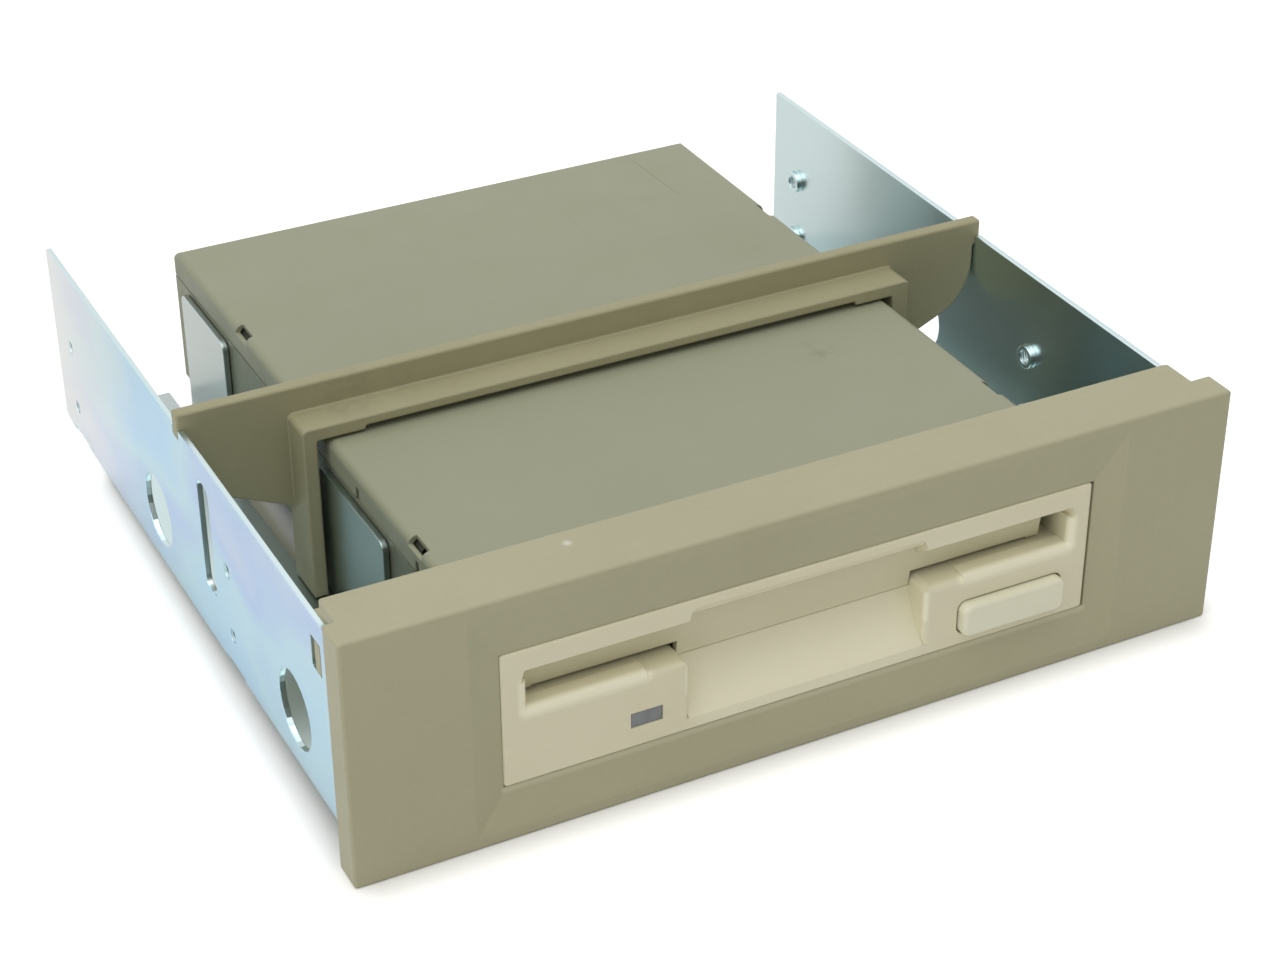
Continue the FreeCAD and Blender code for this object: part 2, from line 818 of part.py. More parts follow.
# Painted cover folded over the drive
def make_top_cover():
    front = chassis_front + seat_gap
    shell = box(-half_drive, half_drive, front, drive_rear, cover_low, drive_top)
    shell = soften(shell, cover_r, lambda c, e: near(c.z, drive_top) and not near(c.y, front))
    room = box(-half_drive + cover_t, half_drive - cover_t, front - 1, drive_rear - cover_t,
               cover_low - 1, cover_under)
    room = bevelled(room, cover_r - cover_t, lambda c, e: near(c.z, cover_under) and c.y > front)
    lip = box(-wall_in + seat_gap, wall_in - seat_gap, front, front + cover_t,
              bezel_top + 0.3, drive_top - 0.3)
    cuts = []
    for y in (cover_cut_y, cover_cut_y + cover_cut_pitch):
        notch = box(half_drive - cover_cut_w, half_drive + 1, y, y + cover_cut_len,
                    cover_under - 0.6, drive_top + 1)
        cuts += both(notch)
    for y in (cover_slit_y, cover_cut_y + 1):
        slit = box(half_drive - cover_t - 1, half_drive + 1, y, y + cover_slit_len,
                   cover_low - 1, cover_low + cover_slit_h)
        cuts += both(slit)
    return less(joined(less(shell, room), lip), *cuts)


# Moulded bezel of the drive: disk slot, finger scoop, windows for button and lamp
def make_drive_bezel():
    body = cushion(bezel_left, bezel_right, bezel_low, bezel_top, drive_face, bezel_rear,
                   bezel_corner, bezel_edge_r)
    inner = slot_half
    rings = []
    lip = []
    for step in range(4):
        turn = math.pi / 2 * step / 3
        out = 1 - math.sin(turn)
        y = drive_face + lip_depth * (1 - math.cos(turn))
        outline = rounded(-inner - lip_side * out, inner + lip_side * out, slot_low - lip_drop * out,
                          slot_top + lip_drop * out, lip_in_r + (lip_r - lip_in_r) * out, 3)
        points = [Vector(x, y, z) for x, z in outline]
        rings.append(Part.makePolygon(points + points[:1]))
        lip.append((y, slot_low - ledge_step_d - lip_drop * out))
    chamber_top = chamber_low + chamber_h
    cuts = [
        Part.makeLoft(rings, True, True),
        box(-inner, inner, drive_face - 1, bezel_rear + 1, slot_low, slot_top),
        along_x([(drive_face - 0.1, slot_top - 0.1), (drive_face - 0.1, slot_top + slot_lead),
                 (drive_face, slot_top + slot_lead), (chamber_y + 0.1, slot_top - 0.1)],
                -inner - lip_side, inner + lip_side),
        box(-inner, inner, chamber_y, bezel_rear + 1, chamber_low, chamber_top),
        box(-block_half, block_half, chamber_y, bezel_rear + 1, scoop_top, chamber_top),
        peg_hole(-inner - pin_reach - seat_gap, hinge_y, hinge_z, right, flap_pin_r + 0.06,
                 2 * (inner + pin_reach + seat_gap)),
    ]
    foot = bezel_low + scoop_rise
    start = Vector(-block_half, drive_face, foot)
    through = Vector(-block_half, drive_face + scoop_mid_y, foot + scoop_mid_z)
    end = Vector(-block_half, drive_face + scoop_depth, scoop_top)
    corner = Vector(-block_half, drive_face + scoop_depth, slot_low + 0.1)
    brow = Vector(-block_half, drive_face - 1, slot_low + 0.1)
    toe = Vector(-block_half, drive_face - 1, foot)
    curve = Part.Arc(start, through, end).toShape()
    wire = Part.Wire([curve, Part.makePolygon([end, corner, brow, toe, start])])
    cuts.append(Part.Face(wire).extrude(Vector(2 * block_half, 0, 0)))
    rise = slot_top + relief_rise
    wide = relief_half + relief_lean
    start = Vector(-wide, drive_face, rise)
    through = Vector(-wide, drive_face + relief_mid_y, slot_top + relief_rise * 0.55)
    end = Vector(-wide, chamber_y, slot_top + relief_rise * 0.25)
    corner = Vector(-wide, chamber_y, slot_top - 0.1)
    brow = Vector(-wide, drive_face - 1, slot_top - 0.1)
    toe = Vector(-wide, drive_face - 1, rise)
    wire = Part.Wire([Part.Arc(start, through, end).toShape(),
                      Part.makePolygon([end, corner, brow, toe, start])])
    relief = Part.Face(wire).extrude(Vector(2 * wide, 0, 0))
    ends = eased([(-wide, 0), (wide, 0), (relief_half, rise), (-relief_half, rise)], relief_r)
    cuts.append(relief.common(along_y(ends, drive_face - 1, chamber_y + 1)))
    edge = corner_of(block_half, drive_face, 1, 1, block_edge_r)
    cuts += both(along_z(edge, foot, slot_low + 0.1))
    brow = corner_of(block_half, slot_low - ledge_step_d, 1, -1, block_top_r)
    cuts += both(along_y(brow, drive_face - 1, bezel_rear + 1))
    back_wall = drive_face + bezel_front
    roof = slot_low - lip_drop - pocket_roof
    pocket = box(block_half + pocket_rib, bezel_right - bezel_wall, back_wall, bezel_rear + 1,
                 bezel_low + bezel_wall, roof)
    cuts += both(pocket)
    arm_way = box(slider_in - 0.4, slider_out + 0.4, bezel_rear - arm_way_len, bezel_rear + 1,
                  roof - 1, slot_top)
    cuts.append(arm_way)
    window = rounded(button_x - button_w / 2 - button_gap, button_x + button_w / 2 + button_gap,
                     button_low - button_gap, button_low + button_h + button_gap, button_r + button_gap)
    cuts.append(along_y(window, drive_face - 1, back_wall + 1))
    lamp_low = bezel_low + lamp_rise
    cuts.append(box(lamp_x - lamp_w / 2 - lamp_gap, lamp_x + lamp_w / 2 + lamp_gap, drive_face - 1,
                    back_wall + 1, lamp_low - lamp_gap, lamp_low + lamp_h + lamp_gap))
    tongue = box(-tongue_half, tongue_half, bezel_rear - 1, bezel_rear + tongue_reach,
                 deck_under - 0.1 - tongue_h, deck_under - 0.1)
    step = [(drive_face - 1, slot_low + 0.1), (drive_face - 1, lip[0][1])] + lip
    step += [(bezel_rear + 1, lip[-1][1]), (bezel_rear + 1, slot_low + 0.1)]
    cuts += both(along_x(step, block_half - 0.1, block_half + ledge_step_w))
    return joined(less(body, *cuts), tongue)


# Flap that closes the disk slot, hung on two pins
def make_dust_flap():
    front = hinge_y - flap_barrel_r
    middle_low = scoop_top + flap_gap
    slope = flap_lean / (hinge_z - middle_low)

    def leaf(x0, x1, low):
        face = front + slope * (hinge_z - low)
        outline = [(front, hinge_z), (face, low), (face + flap_t, low), (front + flap_t, hinge_z)]
        return along_x(outline, x0, x1)

    plate = leaf(flap_left, flap_right, slot_low + flap_low_gap)
    feet = [leaf(x, x + flap_foot, slot_low + flap_gap) for x in (flap_left, flap_right - flap_foot)]
    middle = leaf(-block_half + flap_gap, block_half - flap_gap, middle_low)
    barrel = peg(flap_left, hinge_y, hinge_z, right, flap_barrel_r, flap_right - flap_left)
    reach = slot_half + pin_reach
    pins = []
    for x0, x1 in ((-reach, flap_left + 0.5), (flap_right - 0.5, reach)):
        pins.append(pole(x0, hinge_y, hinge_z, right, flap_pin_r, x1 - x0))
    return joined(plate, *feet, middle, barrel, *pins)


# Closing spring round the flap's right pin
def make_flap_spring():
    start = flap_right + 0.3
    length = slot_half - 0.3 - start
    return sleeve(start, hinge_y, hinge_z, right, flap_pin_r + 0.12, flap_pin_r + 0.6, length, 10)


# Eject button with its stem
def make_eject_button():
    low = button_low
    cap = cushion(button_x - button_w / 2, button_x + button_w / 2, low, low + button_h,
                  button_front, button_front + button_depth, button_r, button_edge_r)
    mid = low + button_h / 2
    stem = box(button_x + stem_in, button_x + stem_in + stem_w, button_front + button_depth - 0.5, arm_front,
               mid - stem_h / 2, mid + stem_h / 2)
    return joined(cap, stem)


# Eject slider: top plate, two ramped sides and an arm to the button
def make_eject_slider():
    plate = along_y(chamfered(-slider_out, slider_out, 0, slider_top, slider_t), slider_front, slider_rear)
    plate = plate.common(box(-slider_out, slider_out, 0, drive_rear, slider_low, slider_top))
    hollow = box(-slider_in, slider_in, slider_front - 1, slider_rear + 1, slider_low - 1, slider_under)
    window = box(-slider_out + slider_rail, slider_out - slider_rail, slider_front + slider_bar,
                 slider_rear + 1, slider_under - 1, slider_top + 1)
    low = drive_z + arm_low
    arm = along_x([(arm_front, low), (arm_front, low + tab_h), (slider_front - arm_knee, slot_low - 1.4),
                   (slider_front + 0.5, slider_under - 2), (slider_front + 0.5, slider_low),
                   (slider_front - 2, low)], slider_in, slider_out)
    tab = box(slider_out - tab_w, slider_out, arm_front, arm_front + slider_t, low, low + tab_h)
    lug = box(spring_x - lug_w / 2, spring_x + lug_w / 2, lug_rear_y, lug_rear_y + slider_t,
              slider_top - 0.2, slider_top + lug_h)
    cuts = []
    for y in (guide_front_y, guide_front_y + guide_pitch):
        cuts.append(slot_x(y, guide_z, y + eject_travel, guide_z - holder_drop, guide_pin_r + ramp_gap,
                           -slider_out - 1, slider_out + 1))
    return less(joined(less(plate, hollow, window), arm, tab, lug), *cuts)


# Spring that draws the slider out
def make_slider_spring():
    z = slider_top + 0.25 + spring_r
    y0 = lug_front_y + 1.2 + 0.05
    length = lug_rear_y - 0.05 - y0
    return sleeve(spring_x, y0, z, back, spring_r - spring_wire, spring_r, length)


# Holder that carries the disk down to the spindle
def make_disk_holder():
    low = holder_low - holder_t
    shell = along_y(chamfered(-holder_out, holder_out, low, holder_top, holder_t), holder_front, holder_rear)
    room = box(-holder_half, holder_half, holder_front - 1, holder_rear + 1, holder_low, holder_under)
    belly = box(-holder_half + holder_lip, holder_half - holder_lip, holder_front - 1, holder_rear + 1,
                low - 1, holder_low + 1)
    fingers = both(box(head_slot_half, head_slot_half + finger_w, holder_rear - 1, finger_rear,
                       holder_under, holder_top))
    way = box(-head_slot_half, head_slot_half, head_slot_y, holder_rear + 1, holder_under - 1, holder_top + 1)
    low = holder_under - 1
    reach = lever_pin_r + 0.5
    ring = sleeve(lever_x, lever_y, low, up, lever_len - reach, lever_len + reach, holder_t + 2, 40)
    spread = math.radians(lever_swing + 4)
    far = 3 * lever_len
    wedge = along_z([(lever_x, lever_y), (lever_x - far, lever_y - far * 0.07),
                     (lever_x - far, lever_y + far),
                     (lever_x - far * math.cos(spread), lever_y + far * math.sin(spread))],
                    low, holder_top + 1)
    pins = []
    for y in (guide_front_y, guide_front_y + guide_pitch):
        pins += both(peg(holder_out - 0.4, y, guide_z, right, guide_pin_r,
                         slider_out - holder_out + guide_pin_reach + 0.4 + wall_in - slider_out, 8))
    body = joined(less(shell, room, belly), *fingers, *pins)
    return less(body, way, ring.common(wedge))


# Lever that opens the disk's shutter
def make_shutter_lever():
    low = holder_top + 0.1 + coil_h + 0.05
    eye = peg(lever_x, lever_y, low, up, lever_w / 2, lever_t, 16)
    tip = peg(lever_x - lever_len, lever_y, low, up, lever_w / 2 - 0.8, lever_t)
    web = along_z([(lever_x, lever_y - lever_w / 2), (lever_x, lever_y + lever_w / 2),
                   (lever_x - lever_len, lever_y + lever_w / 2 - 0.8),
                   (lever_x - lever_len, lever_y - lever_w / 2 + 0.8)], low, low + lever_t)
    pin = peg(lever_x - lever_len, lever_y, holder_low + 0.9, up, lever_pin_r, low - holder_low - 0.7, 8)
    bore = peg_hole(lever_x, lever_y, low - 1, up, pivot_r + turn_gap, lever_t + 2, 20)
    return less(joined(eye, tip, web, pin), bore)


def make_lever_pivot():
    low = holder_top
    high = holder_top + 0.1 + coil_h + 0.05 + lever_t + 0.05
    post = peg(lever_x, lever_y, low, up, pivot_r, high - low, 20)
    return joined(post, peg(lever_x, lever_y, high, up, pivot_head_r, pivot_head_h))


def make_lever_spring():
    return sleeve(lever_x, lever_y, holder_top + 0.05, up, pivot_r + 0.2, pivot_r + 0.2 + coil_wall, coil_h)


# Spindle: hub, drive pin, rotor cup with its magnet, shaft and bearing
def make_spindle_hub():
    hub = sleeve(0, spindle_y, rotor_top, up, shaft_r + tap_gap, hub_r, hub_h, 32)
    return hub.cut(peg_hole(0, spindle_y, hub_top - 0.4, up, shaft_r + 2.2, 1))


def make_drive_pin():
    return peg(drive_pin_orbit, spindle_y, hub_top, up, drive_pin_r, drive_pin_h, 8)


def make_spindle_rotor():
    low = deck_top - rotor_skirt
    cup = peg(0, spindle_y, low, up, rotor_r, rotor_top - low, 36)
    room = peg_hole(0, spindle_y, low - 1, up, rotor_r - rotor_t, deck_top - low + 1, 36)
    return less(cup, room, peg_hole(0, spindle_y, low, up, shaft_r + tap_gap, rotor_skirt + rotor_t + 1))


def make_rotor_magnet():
    outer = rotor_r - rotor_t
    low = deck_top - rotor_skirt + 0.2
    return sleeve(0, spindle_y, low, up, outer - magnet_t, outer, deck_top - low, 36)


def make_spindle_shaft():
    low = motor_board_top - motor_board_t - 0.6
    return peg(0, spindle_y, low, up, shaft_r, hub_top + 0.7 - low, 24)


def make_spindle_bearing():
    low = motor_board_top - motor_board_t - 0.4
    top = motor_board_top + bearing_flange_t + stator_t + 0.5
    mid = motor_board_top + bearing_flange_t
    bush = peg(0, spindle_y, low, up, bearing_r, top - low, 16)
    flange = peg(0, spindle_y, motor_board_top, up, bearing_flange_r, mid - motor_board_top)
    bore = peg_hole(0, spindle_y, low - 1, up, shaft_r + turn_gap, top - low + 2, 24)
    return less(joined(bush, flange), bore)


# Stator: a star of poles, each with a coil
def spoke(shape, index):
    copy = shape.copy()
    copy.rotate(Vector(0, spindle_y, 0), up, 360.0 * index / pole_count)
    return copy


def make_stator_core():
    low = motor_board_top + bearing_flange_t
    ring = sleeve(0, spindle_y, low, up, bearing_r + 0.05, bearing_r + 3.6, stator_t, pole_count)
    tooth = box(bearing_r + 3, stator_r - 0.4, spindle_y - pole_w / 2, spindle_y + pole_w / 2,
                low, low + stator_t)
    foot = box(stator_r - 1.6, stator_r - 0.2, spindle_y - 3.4, spindle_y + 3.4, low, low + stator_t)
    return joined(ring, *[spoke(joined(tooth, foot), i) for i in range(pole_count)])


def make_stator_coils():
    low = motor_board_top + bearing_flange_t
    inner = bearing_r + coil_in
    outer = stator_r - 2.1
    width = pole_w / 2 + coil_out
    coil = box(inner, outer, spindle_y - width, spindle_y + width, low - coil_out, low + stator_t + 0.25)
    coil = coil.cut(box(inner - 1, outer + 1, spindle_y - pole_w / 2, spindle_y + pole_w / 2,
                        low, low + stator_t))
    return Part.makeCompound([spoke(coil, i) for i in range(pole_count)])


def make_motor_board():
    low = motor_board_top - motor_board_t
    plate = board(motor_board_half, motor_board_front, motor_board_rear, low, motor_board_top)
    cuts = [peg_hole(0, spindle_y, low - 1, up, bearing_r + tap_gap, motor_board_t + 2, 16)]
    for x in (-motor_post_x, motor_post_x):
        for y in (motor_post_front, motor_post_rear):
            cuts.append(peg_hole(x, y, low - 1, up, small_screw_r + 0.2, motor_board_t + 2, 8))
    return less(plate, *cuts)


def board_screws(xs, ys, low, thick):
    screws = []
    for x in xs:
        for y in ys:
            head = peg(x, y, low - small_head_h, up, small_head_r, small_head_h, 8)
            screws.append(joined(head, peg(x, y, low, up, small_screw_r, thick + small_screw_grip, 8)))
    return Part.makeCompound(screws)


def make_motor_board_screws():
    return board_screws((-motor_post_x, motor_post_x), (motor_post_front, motor_post_rear),
                        motor_board_top - motor_board_t, motor_board_t)


# Head carriage on its guide rod
def make_head_carriage():
    front = carriage_y
    rear = front + carriage_len
    body = box(-carriage_left, carriage_right, front, rear, carriage_low, carriage_top)
    nose = box(-arm_half, arm_half, head_y - head_half - 1.5, head_y + nose_len, rotor_top + 0.5,
               medium_z - head_t - 0.05)
    tooth = box(carriage_right - 0.3, rod_x - screw_shaft_r - tooth_gap, front + carriage_len / 3,
                front + carriage_len / 3 + tooth_len, rod_z - tooth_t / 2, rod_z + tooth_t / 2)
    tail = box(-post_left, post_right, rear - 1, pivot_y + 2.6, carriage_low + 2, carriage_top)
    posts = []
    for x0, x1 in ((-post_left, -knuckle_left - 0.3), (knuckle_right + 0.3, post_right)):
        posts.append(along_x([(pivot_y - 3, carriage_top - 0.5), (pivot_y + 2.6, carriage_top - 0.5),
                              (pivot_y + 1.8, pivot_z + 1.8), (pivot_y - 1.8, pivot_z + 1.8)], x0, x1))
    flag_y = front + flag_back
    flag = box(-carriage_left - flag_reach, -carriage_left + 0.5, flag_y, flag_y + flag_len,
               carriage_top - flag_t + 0.35, carriage_top + 0.35)
    cuts = [
        peg_hole(-rod_x, front - 1, rod_z, back, rod_r + turn_gap, carriage_len + 2),
        peg_hole(-post_left - 1, pivot_y, pivot_z, right, arm_pin_r + tap_gap, post_left + post_right + 2),
        box(-well_half, well_half, front + well_front, rear - well_rear,
            carriage_low + 1.5, carriage_top + 1),
    ]
    return less(joined(body, nose, tooth, tail, *posts, flag), *cuts)


def make_lower_head():
    low = medium_z - head_t - 0.05
    head = box(-head_half, head_half, head_y - head_half, head_y + head_half, low, medium_z - 0.05)
    return bevelled(head, 0.3, lambda c, e: near(c.z, medium_z - 0.05))


# Upper arm, lifted while no disk is held
def lifted(shape):
    copy = shape.copy()
    copy.rotate(Vector(0, pivot_y, pivot_z), right, -arm_lift)
    return copy


def make_upper_head_arm():
    low = pivot_z + 0.6
    plate = box(-arm_half, arm_half, head_y - head_half - 1, pivot_y - arm_tail, low, low + arm_t)
    ear_y = pivot_y - arm_ear_back
    ears = box(-head_slot_half - arm_ear_reach, head_slot_half + arm_ear_reach, ear_y, ear_y + arm_ear_len,
               low + 0.4, low + arm_t + 0.4)
    knuckle = peg(-knuckle_left, pivot_y, pivot_z, right, arm_pin_r + 1.2, knuckle_left + knuckle_right)
    heel = box(-knuckle_left, knuckle_right, pivot_y - heel_len, pivot_y, pivot_z - 0.4, low + arm_t)
    post = box(-head_half - 0.4, head_half + 0.4, head_y - head_half - 0.4, head_y + head_half + 0.4,
               medium_z + head_play + head_t, low + 0.2)
    body = joined(plate, ears, knuckle, heel, post)
    bore = peg_hole(-post_left, pivot_y, pivot_z, right, arm_pin_r + turn_gap, post_left + post_right, 20)
    return lifted(body.cut(bore))


def make_upper_head():
    low = medium_z + head_play
    head = box(-head_half, head_half, head_y - head_half, head_y + head_half, low, low + head_t)
    return lifted(bevelled(head, 0.3, lambda c, e: near(c.z, low)))


def make_arm_pivot_pin():
    reach = post_left + arm_coil_len
    return peg(-reach, pivot_y, pivot_z, right, arm_pin_r, reach + post_right, 20)


def make_arm_spring():
    return sleeve(-post_left - arm_coil_len, pivot_y, pivot_z, right, arm_pin_r + 0.1, arm_pin_r + 0.9,
                  arm_coil_len)


def make_guide_rod():
    return peg(-rod_x, rod_front, rod_z, back, rod_r, rod_rear - rod_front)


# Lead screw, its front bearing, the stepper and its bracket
def make_lead_screw():
    return peg(rod_x, screw_front, rod_z, back, screw_shaft_r, motor_face + motor_len - 3 - screw_front, 24)


def make_screw_bearing():
    high = rod_z + screw_shaft_r + 1.6
    front = rod_front + 0.6
    rear = rod_front + rod_seat
    side = screw_shaft_r + 1.2
    body = box(rod_x - side, rod_x + side + 2, front, rear, deck_top, high)
    lower = box(rod_x - side, rod_x + side, front, rear, rod_z - side, high)
    bore = peg_hole(rod_x, screw_front, rod_z, back, screw_shaft_r + turn_gap, bearing_bore)
    return less(joined(body, lower), bore)


def make_stepper_motor():
    y = motor_face + motor_plate
    can = peg(rod_x, y, rod_z, back, motor_r, motor_len, 28)
    return can.cut(peg_hole(rod_x, y - 1, rod_z, back, screw_shaft_r + 0.06, motor_len - 2))


def make_stepper_bracket():
    wide = rod_x + motor_r + foot_reach
    plate = box(rod_x - motor_r - 0.3, wide, motor_face, motor_face + motor_plate, deck_top, rod_z + motor_r)
    disc = peg(rod_x, motor_face, rod_z, back, motor_r, motor_plate, 28)
    foot = box(rod_x + motor_r + foot_start, wide, motor_face, motor_face + foot_len,
               deck_top, deck_top + motor_plate)
    body = joined(plate, disc, foot)
    body = body.cut(peg_hole(rod_x, motor_face - 1, rod_z, back, screw_shaft_r + 0.15, motor_plate + 2))
    return less(body, *stepper_screw_poles(0.2))


def stepper_screw_poles(gap):
    x0 = rod_x + motor_r + foot_screw_in
    y = motor_face + foot_len / 2 + motor_plate / 2
    length = deck_t + motor_plate + 0.5
    xs = (x0, x0 + foot_screw_pitch)
    return [peg_hole(x, y, deck_under - 0.5, up, small_screw_r + gap, length, 8) for x in xs]


def make_stepper_screws():
    screws = []
    for shank in stepper_screw_poles(0):
        spot = shank.CenterOfMass
        head = peg(spot.x, spot.y, deck_top + motor_plate, up, small_head_r, small_head_h, 8)
        screws.append(joined(shank, head))
    return Part.makeCompound(screws)


# Main board with its screws, chips and connectors
def make_main_board():
    plate = board(board_half, board_front, board_rear, board_low, board_top)
    cuts = [box(rod_x - motor_r - 1, rod_x + motor_r + 1, motor_face - 2,
                motor_face + motor_plate + motor_len + 1.5, board_low - 1, board_top + 1)]
    for x in (-main_post_x, main_post_x):
        for y in (main_post_front, main_post_rear):
            cuts.append(peg_hole(x, y, board_low - 1, up, small_screw_r + 0.2, board_t + 2, 8))
    return less(plate, *cuts)


def make_main_board_screws():
    return board_screws((-main_post_x, main_post_x), (main_post_front, main_post_rear), board_low, board_t)


def make_board_chips():
    front = board_front + chip_front
    rear = front + chip_large + chip_rear
    chips = [(-chip_x, front + chip_large / 2, chip_large, chip_large),
             (0.0, front, chip_long, chip_wide),
             (chip_x, front + chip_wide / 2, chip_long, chip_wide),
             (chip_x + chip_wide / 2, rear, chip_wide, chip_small)]
    return Part.makeCompound([
        box(x - w / 2, x + w / 2, y - d / 2, y + d / 2, board_low - chip_h, board_low) for x, y, w, d in chips
    ])


def make_data_connector():
    y0 = drive_rear - data_len
    shell = box(data_x - data_w / 2, data_x + data_w / 2, y0, drive_rear, board_top, board_top + data_h)
    room = box(data_x - data_w / 2 + data_wall, data_x + data_w / 2 - data_wall, y0 + data_floor,
               drive_rear + 1,
               board_top + data_wall, board_top + data_h - data_wall)
    key = box(data_x - 2.3, data_x + 2.3, y0 + data_floor, drive_rear + 1,
              board_top + data_h - data_wall - 1, board_top + data_h + 1)
    return less(shell, room, key)


def make_data_pins():
    y0 = drive_rear - data_len + data_floor
    mid = board_top + data_h / 2
    first = data_x - (pin_columns - 1) / 2 * pin_pitch
    pins = []
    for column in range(pin_columns):
        for row in (-0.5, 0.5):
            x = first + column * pin_pitch
            z = mid + row * pin_pitch
            pins.append(box(x - pin_side / 2, x + pin_side / 2, y0, drive_rear - 0.8,
                            z - pin_side / 2, z + pin_side / 2))
    return Part.makeCompound(pins)


def make_power_connector():
    y0 = drive_rear - power_len
    shell = box(power_x - power_w / 2, power_x + power_w / 2, y0, drive_rear, board_top, board_top + power_h)
    room = box(power_x - power_w / 2 + 1, power_x + power_w / 2 - 1, y0 + 2.4, drive_rear + 1,
               board_top + 1.2, board_top + power_h - 1)
    keys = both(box(2.0, 3.4, y0 + 2.4, drive_rear + 1, board_top + power_h - 1.5, board_top + power_h + 1))
    for key in keys:
        key.translate(Vector(power_x, 0, 0))
    return less(shell, room, *keys)


def make_power_pins():
    z = board_top + power_h / 2
    pins = []
    for index in range(4):
        x = power_x + (index - 1.5) * power_pitch
        pins.append(box(x - power_pin / 2, x + power_pin / 2, drive_rear - power_len + 2.4, drive_rear - 0.8,
                        z - power_pin / 2, z + power_pin / 2))
    return Part.makeCompound(pins)


# Lamp lens in the bezel and the lamp behind it
def make_lamp_lens():
    low = bezel_low + lamp_rise
    y0 = drive_face + lens_sink
    lip_y = drive_face + bezel_front
    guide = box(lamp_x - lamp_w / 2, lamp_x + lamp_w / 2, y0, y0 + lens_len, low, low + lamp_h)
    lip = box(lamp_x - lamp_w / 2 - lens_lip, lamp_x + lamp_w / 2 + lens_lip, lip_y, lip_y + 1,
              low - lens_lip, low + lamp_h + lens_lip)
    return joined(guide, lip)


def make_lamp():
    low = bezel_low + lamp_rise
    y0 = drive_face + lens_sink + lens_len + 0.1
    body = box(lamp_x - lamp_w / 2, lamp_x + lamp_w / 2, y0, y0 + lamp_len, low, low + lamp_h)
    leg_y = y0 + lamp_len - 0.4
    legs = []
    for x in (lamp_x - pin_pitch / 2, lamp_x + pin_pitch / 2):
        legs.append(box(x - 0.25, x + 0.25, leg_y, leg_y + lamp_leg_len, low + 1, low + 1.5))
    return joined(body, *legs)


# Media switches: a body on the deck with two plungers
def plunger_spots():
    return [(switch_x - plunger_pitch / 2, switch_y), (switch_x + plunger_pitch / 2, switch_y)]


def make_media_switch():
    body = box(switch_x - switch_w / 2, switch_x + switch_w / 2, switch_y - switch_len / 2,
               switch_y + switch_len / 2, deck_top, deck_top + switch_h)
    top = disk_low + plunger_press
    low = top - plunger_len - plunger_press - 0.2
    bores = [peg_hole(x, y, low, up, plunger_r + 0.05, switch_h + deck_top, 8)
             for x, y in plunger_spots()]
    return less(body, *bores)


def make_plunger(spot):
    top = disk_low + plunger_press
    return peg(spot[0], spot[1], top - plunger_len, up, plunger_r, plunger_len, 8)


# Sensor that the carriage's flag enters at track zero
def make_track_zero_sensor():
    y0 = carriage_y + flag_back + sensor_in
    x1 = -carriage_left - sensor_gap
    x0 = x1 - sensor_w
    mid = carriage_top - flag_t / 2 + 0.35
    high = mid + 2.4
    body = box(x0, x1, y0, y0 + sensor_len, deck_top, high)
    return body.cut(box(x0 + 2, x1 + 1, y0 - 1, y0 + sensor_len + 1, mid - 0.9, mid + 0.9))


nodes = {
    "front_panel": make_front_panel(),
    "left_bracket": make_bracket(True),
    "right_bracket": flipped(make_bracket(False)),
    "bridge_frame": make_bridge_frame(),
    "ear_screws": make_ear_screws(),
    "drive_chassis": make_drive_chassis(),
    "top_cover": make_top_cover(),
    "drive_bezel": make_drive_bezel(),
    "dust_flap": make_dust_flap(),
    "flap_spring": make_flap_spring(),
    "eject_button": make_eject_button(),
    "eject_slider": make_eject_slider(),
    "slider_spring": make_slider_spring(),
    "disk_holder": make_disk_holder(),
    "shutter_lever": make_shutter_lever(),
    "lever_pivot": make_lever_pivot(),
    "lever_spring": make_lever_spring(),
    "spindle_hub": make_spindle_hub(),
    "drive_pin": make_drive_pin(),
    "spindle_rotor": make_spindle_rotor(),
    "rotor_magnet": make_rotor_magnet(),
    "spindle_shaft": make_spindle_shaft(),
    "spindle_bearing": make_spindle_bearing(),
    "stator_core": make_stator_core(),
    "stator_coils": make_stator_coils(),
    "motor_board": make_motor_board(),
    "motor_board_screws": make_motor_board_screws(),
    "head_carriage": make_head_carriage(),
    "lower_head": make_lower_head(),
    "upper_head_arm": make_upper_head_arm(),
    "upper_head": make_upper_head(),
    "arm_pivot_pin": make_arm_pivot_pin(),
    "arm_spring": make_arm_spring(),
    "guide_rod": make_guide_rod(),
    "lead_screw": make_lead_screw(),
    "screw_bearing": make_screw_bearing(),
    "stepper_motor": make_stepper_motor(),
    "stepper_bracket": make_stepper_bracket(),
    "stepper_screws": make_stepper_screws(),
    "main_board": make_main_board(),
    "main_board_screws": make_main_board_screws(),
    "board_chips": make_board_chips(),
    "data_connector": make_data_connector(),
    "data_pins": make_data_pins(),
    "power_connector": make_power_connector(),
    "power_pins": make_power_pins(),
    "lamp_lens": make_lamp_lens(),
    "lamp": make_lamp(),
    "media_switch": make_media_switch(),
    "disk_plunger": make_plunger(plunger_spots()[0]),
    "protect_plunger": make_plunger(plunger_spots()[1]),
    "track_zero_sensor": make_track_zero_sensor(),
}

os.makedirs("parts", exist_ok=True)
for name, shape in nodes.items():
    placed = shape.copy()
    placed.translate(Vector(0, shift_y, 0))
    placed.exportStep("parts/" + name + ".step")
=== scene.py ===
import json
import math
import re

import bmesh
import bpy
from mathutils import Matrix, Vector

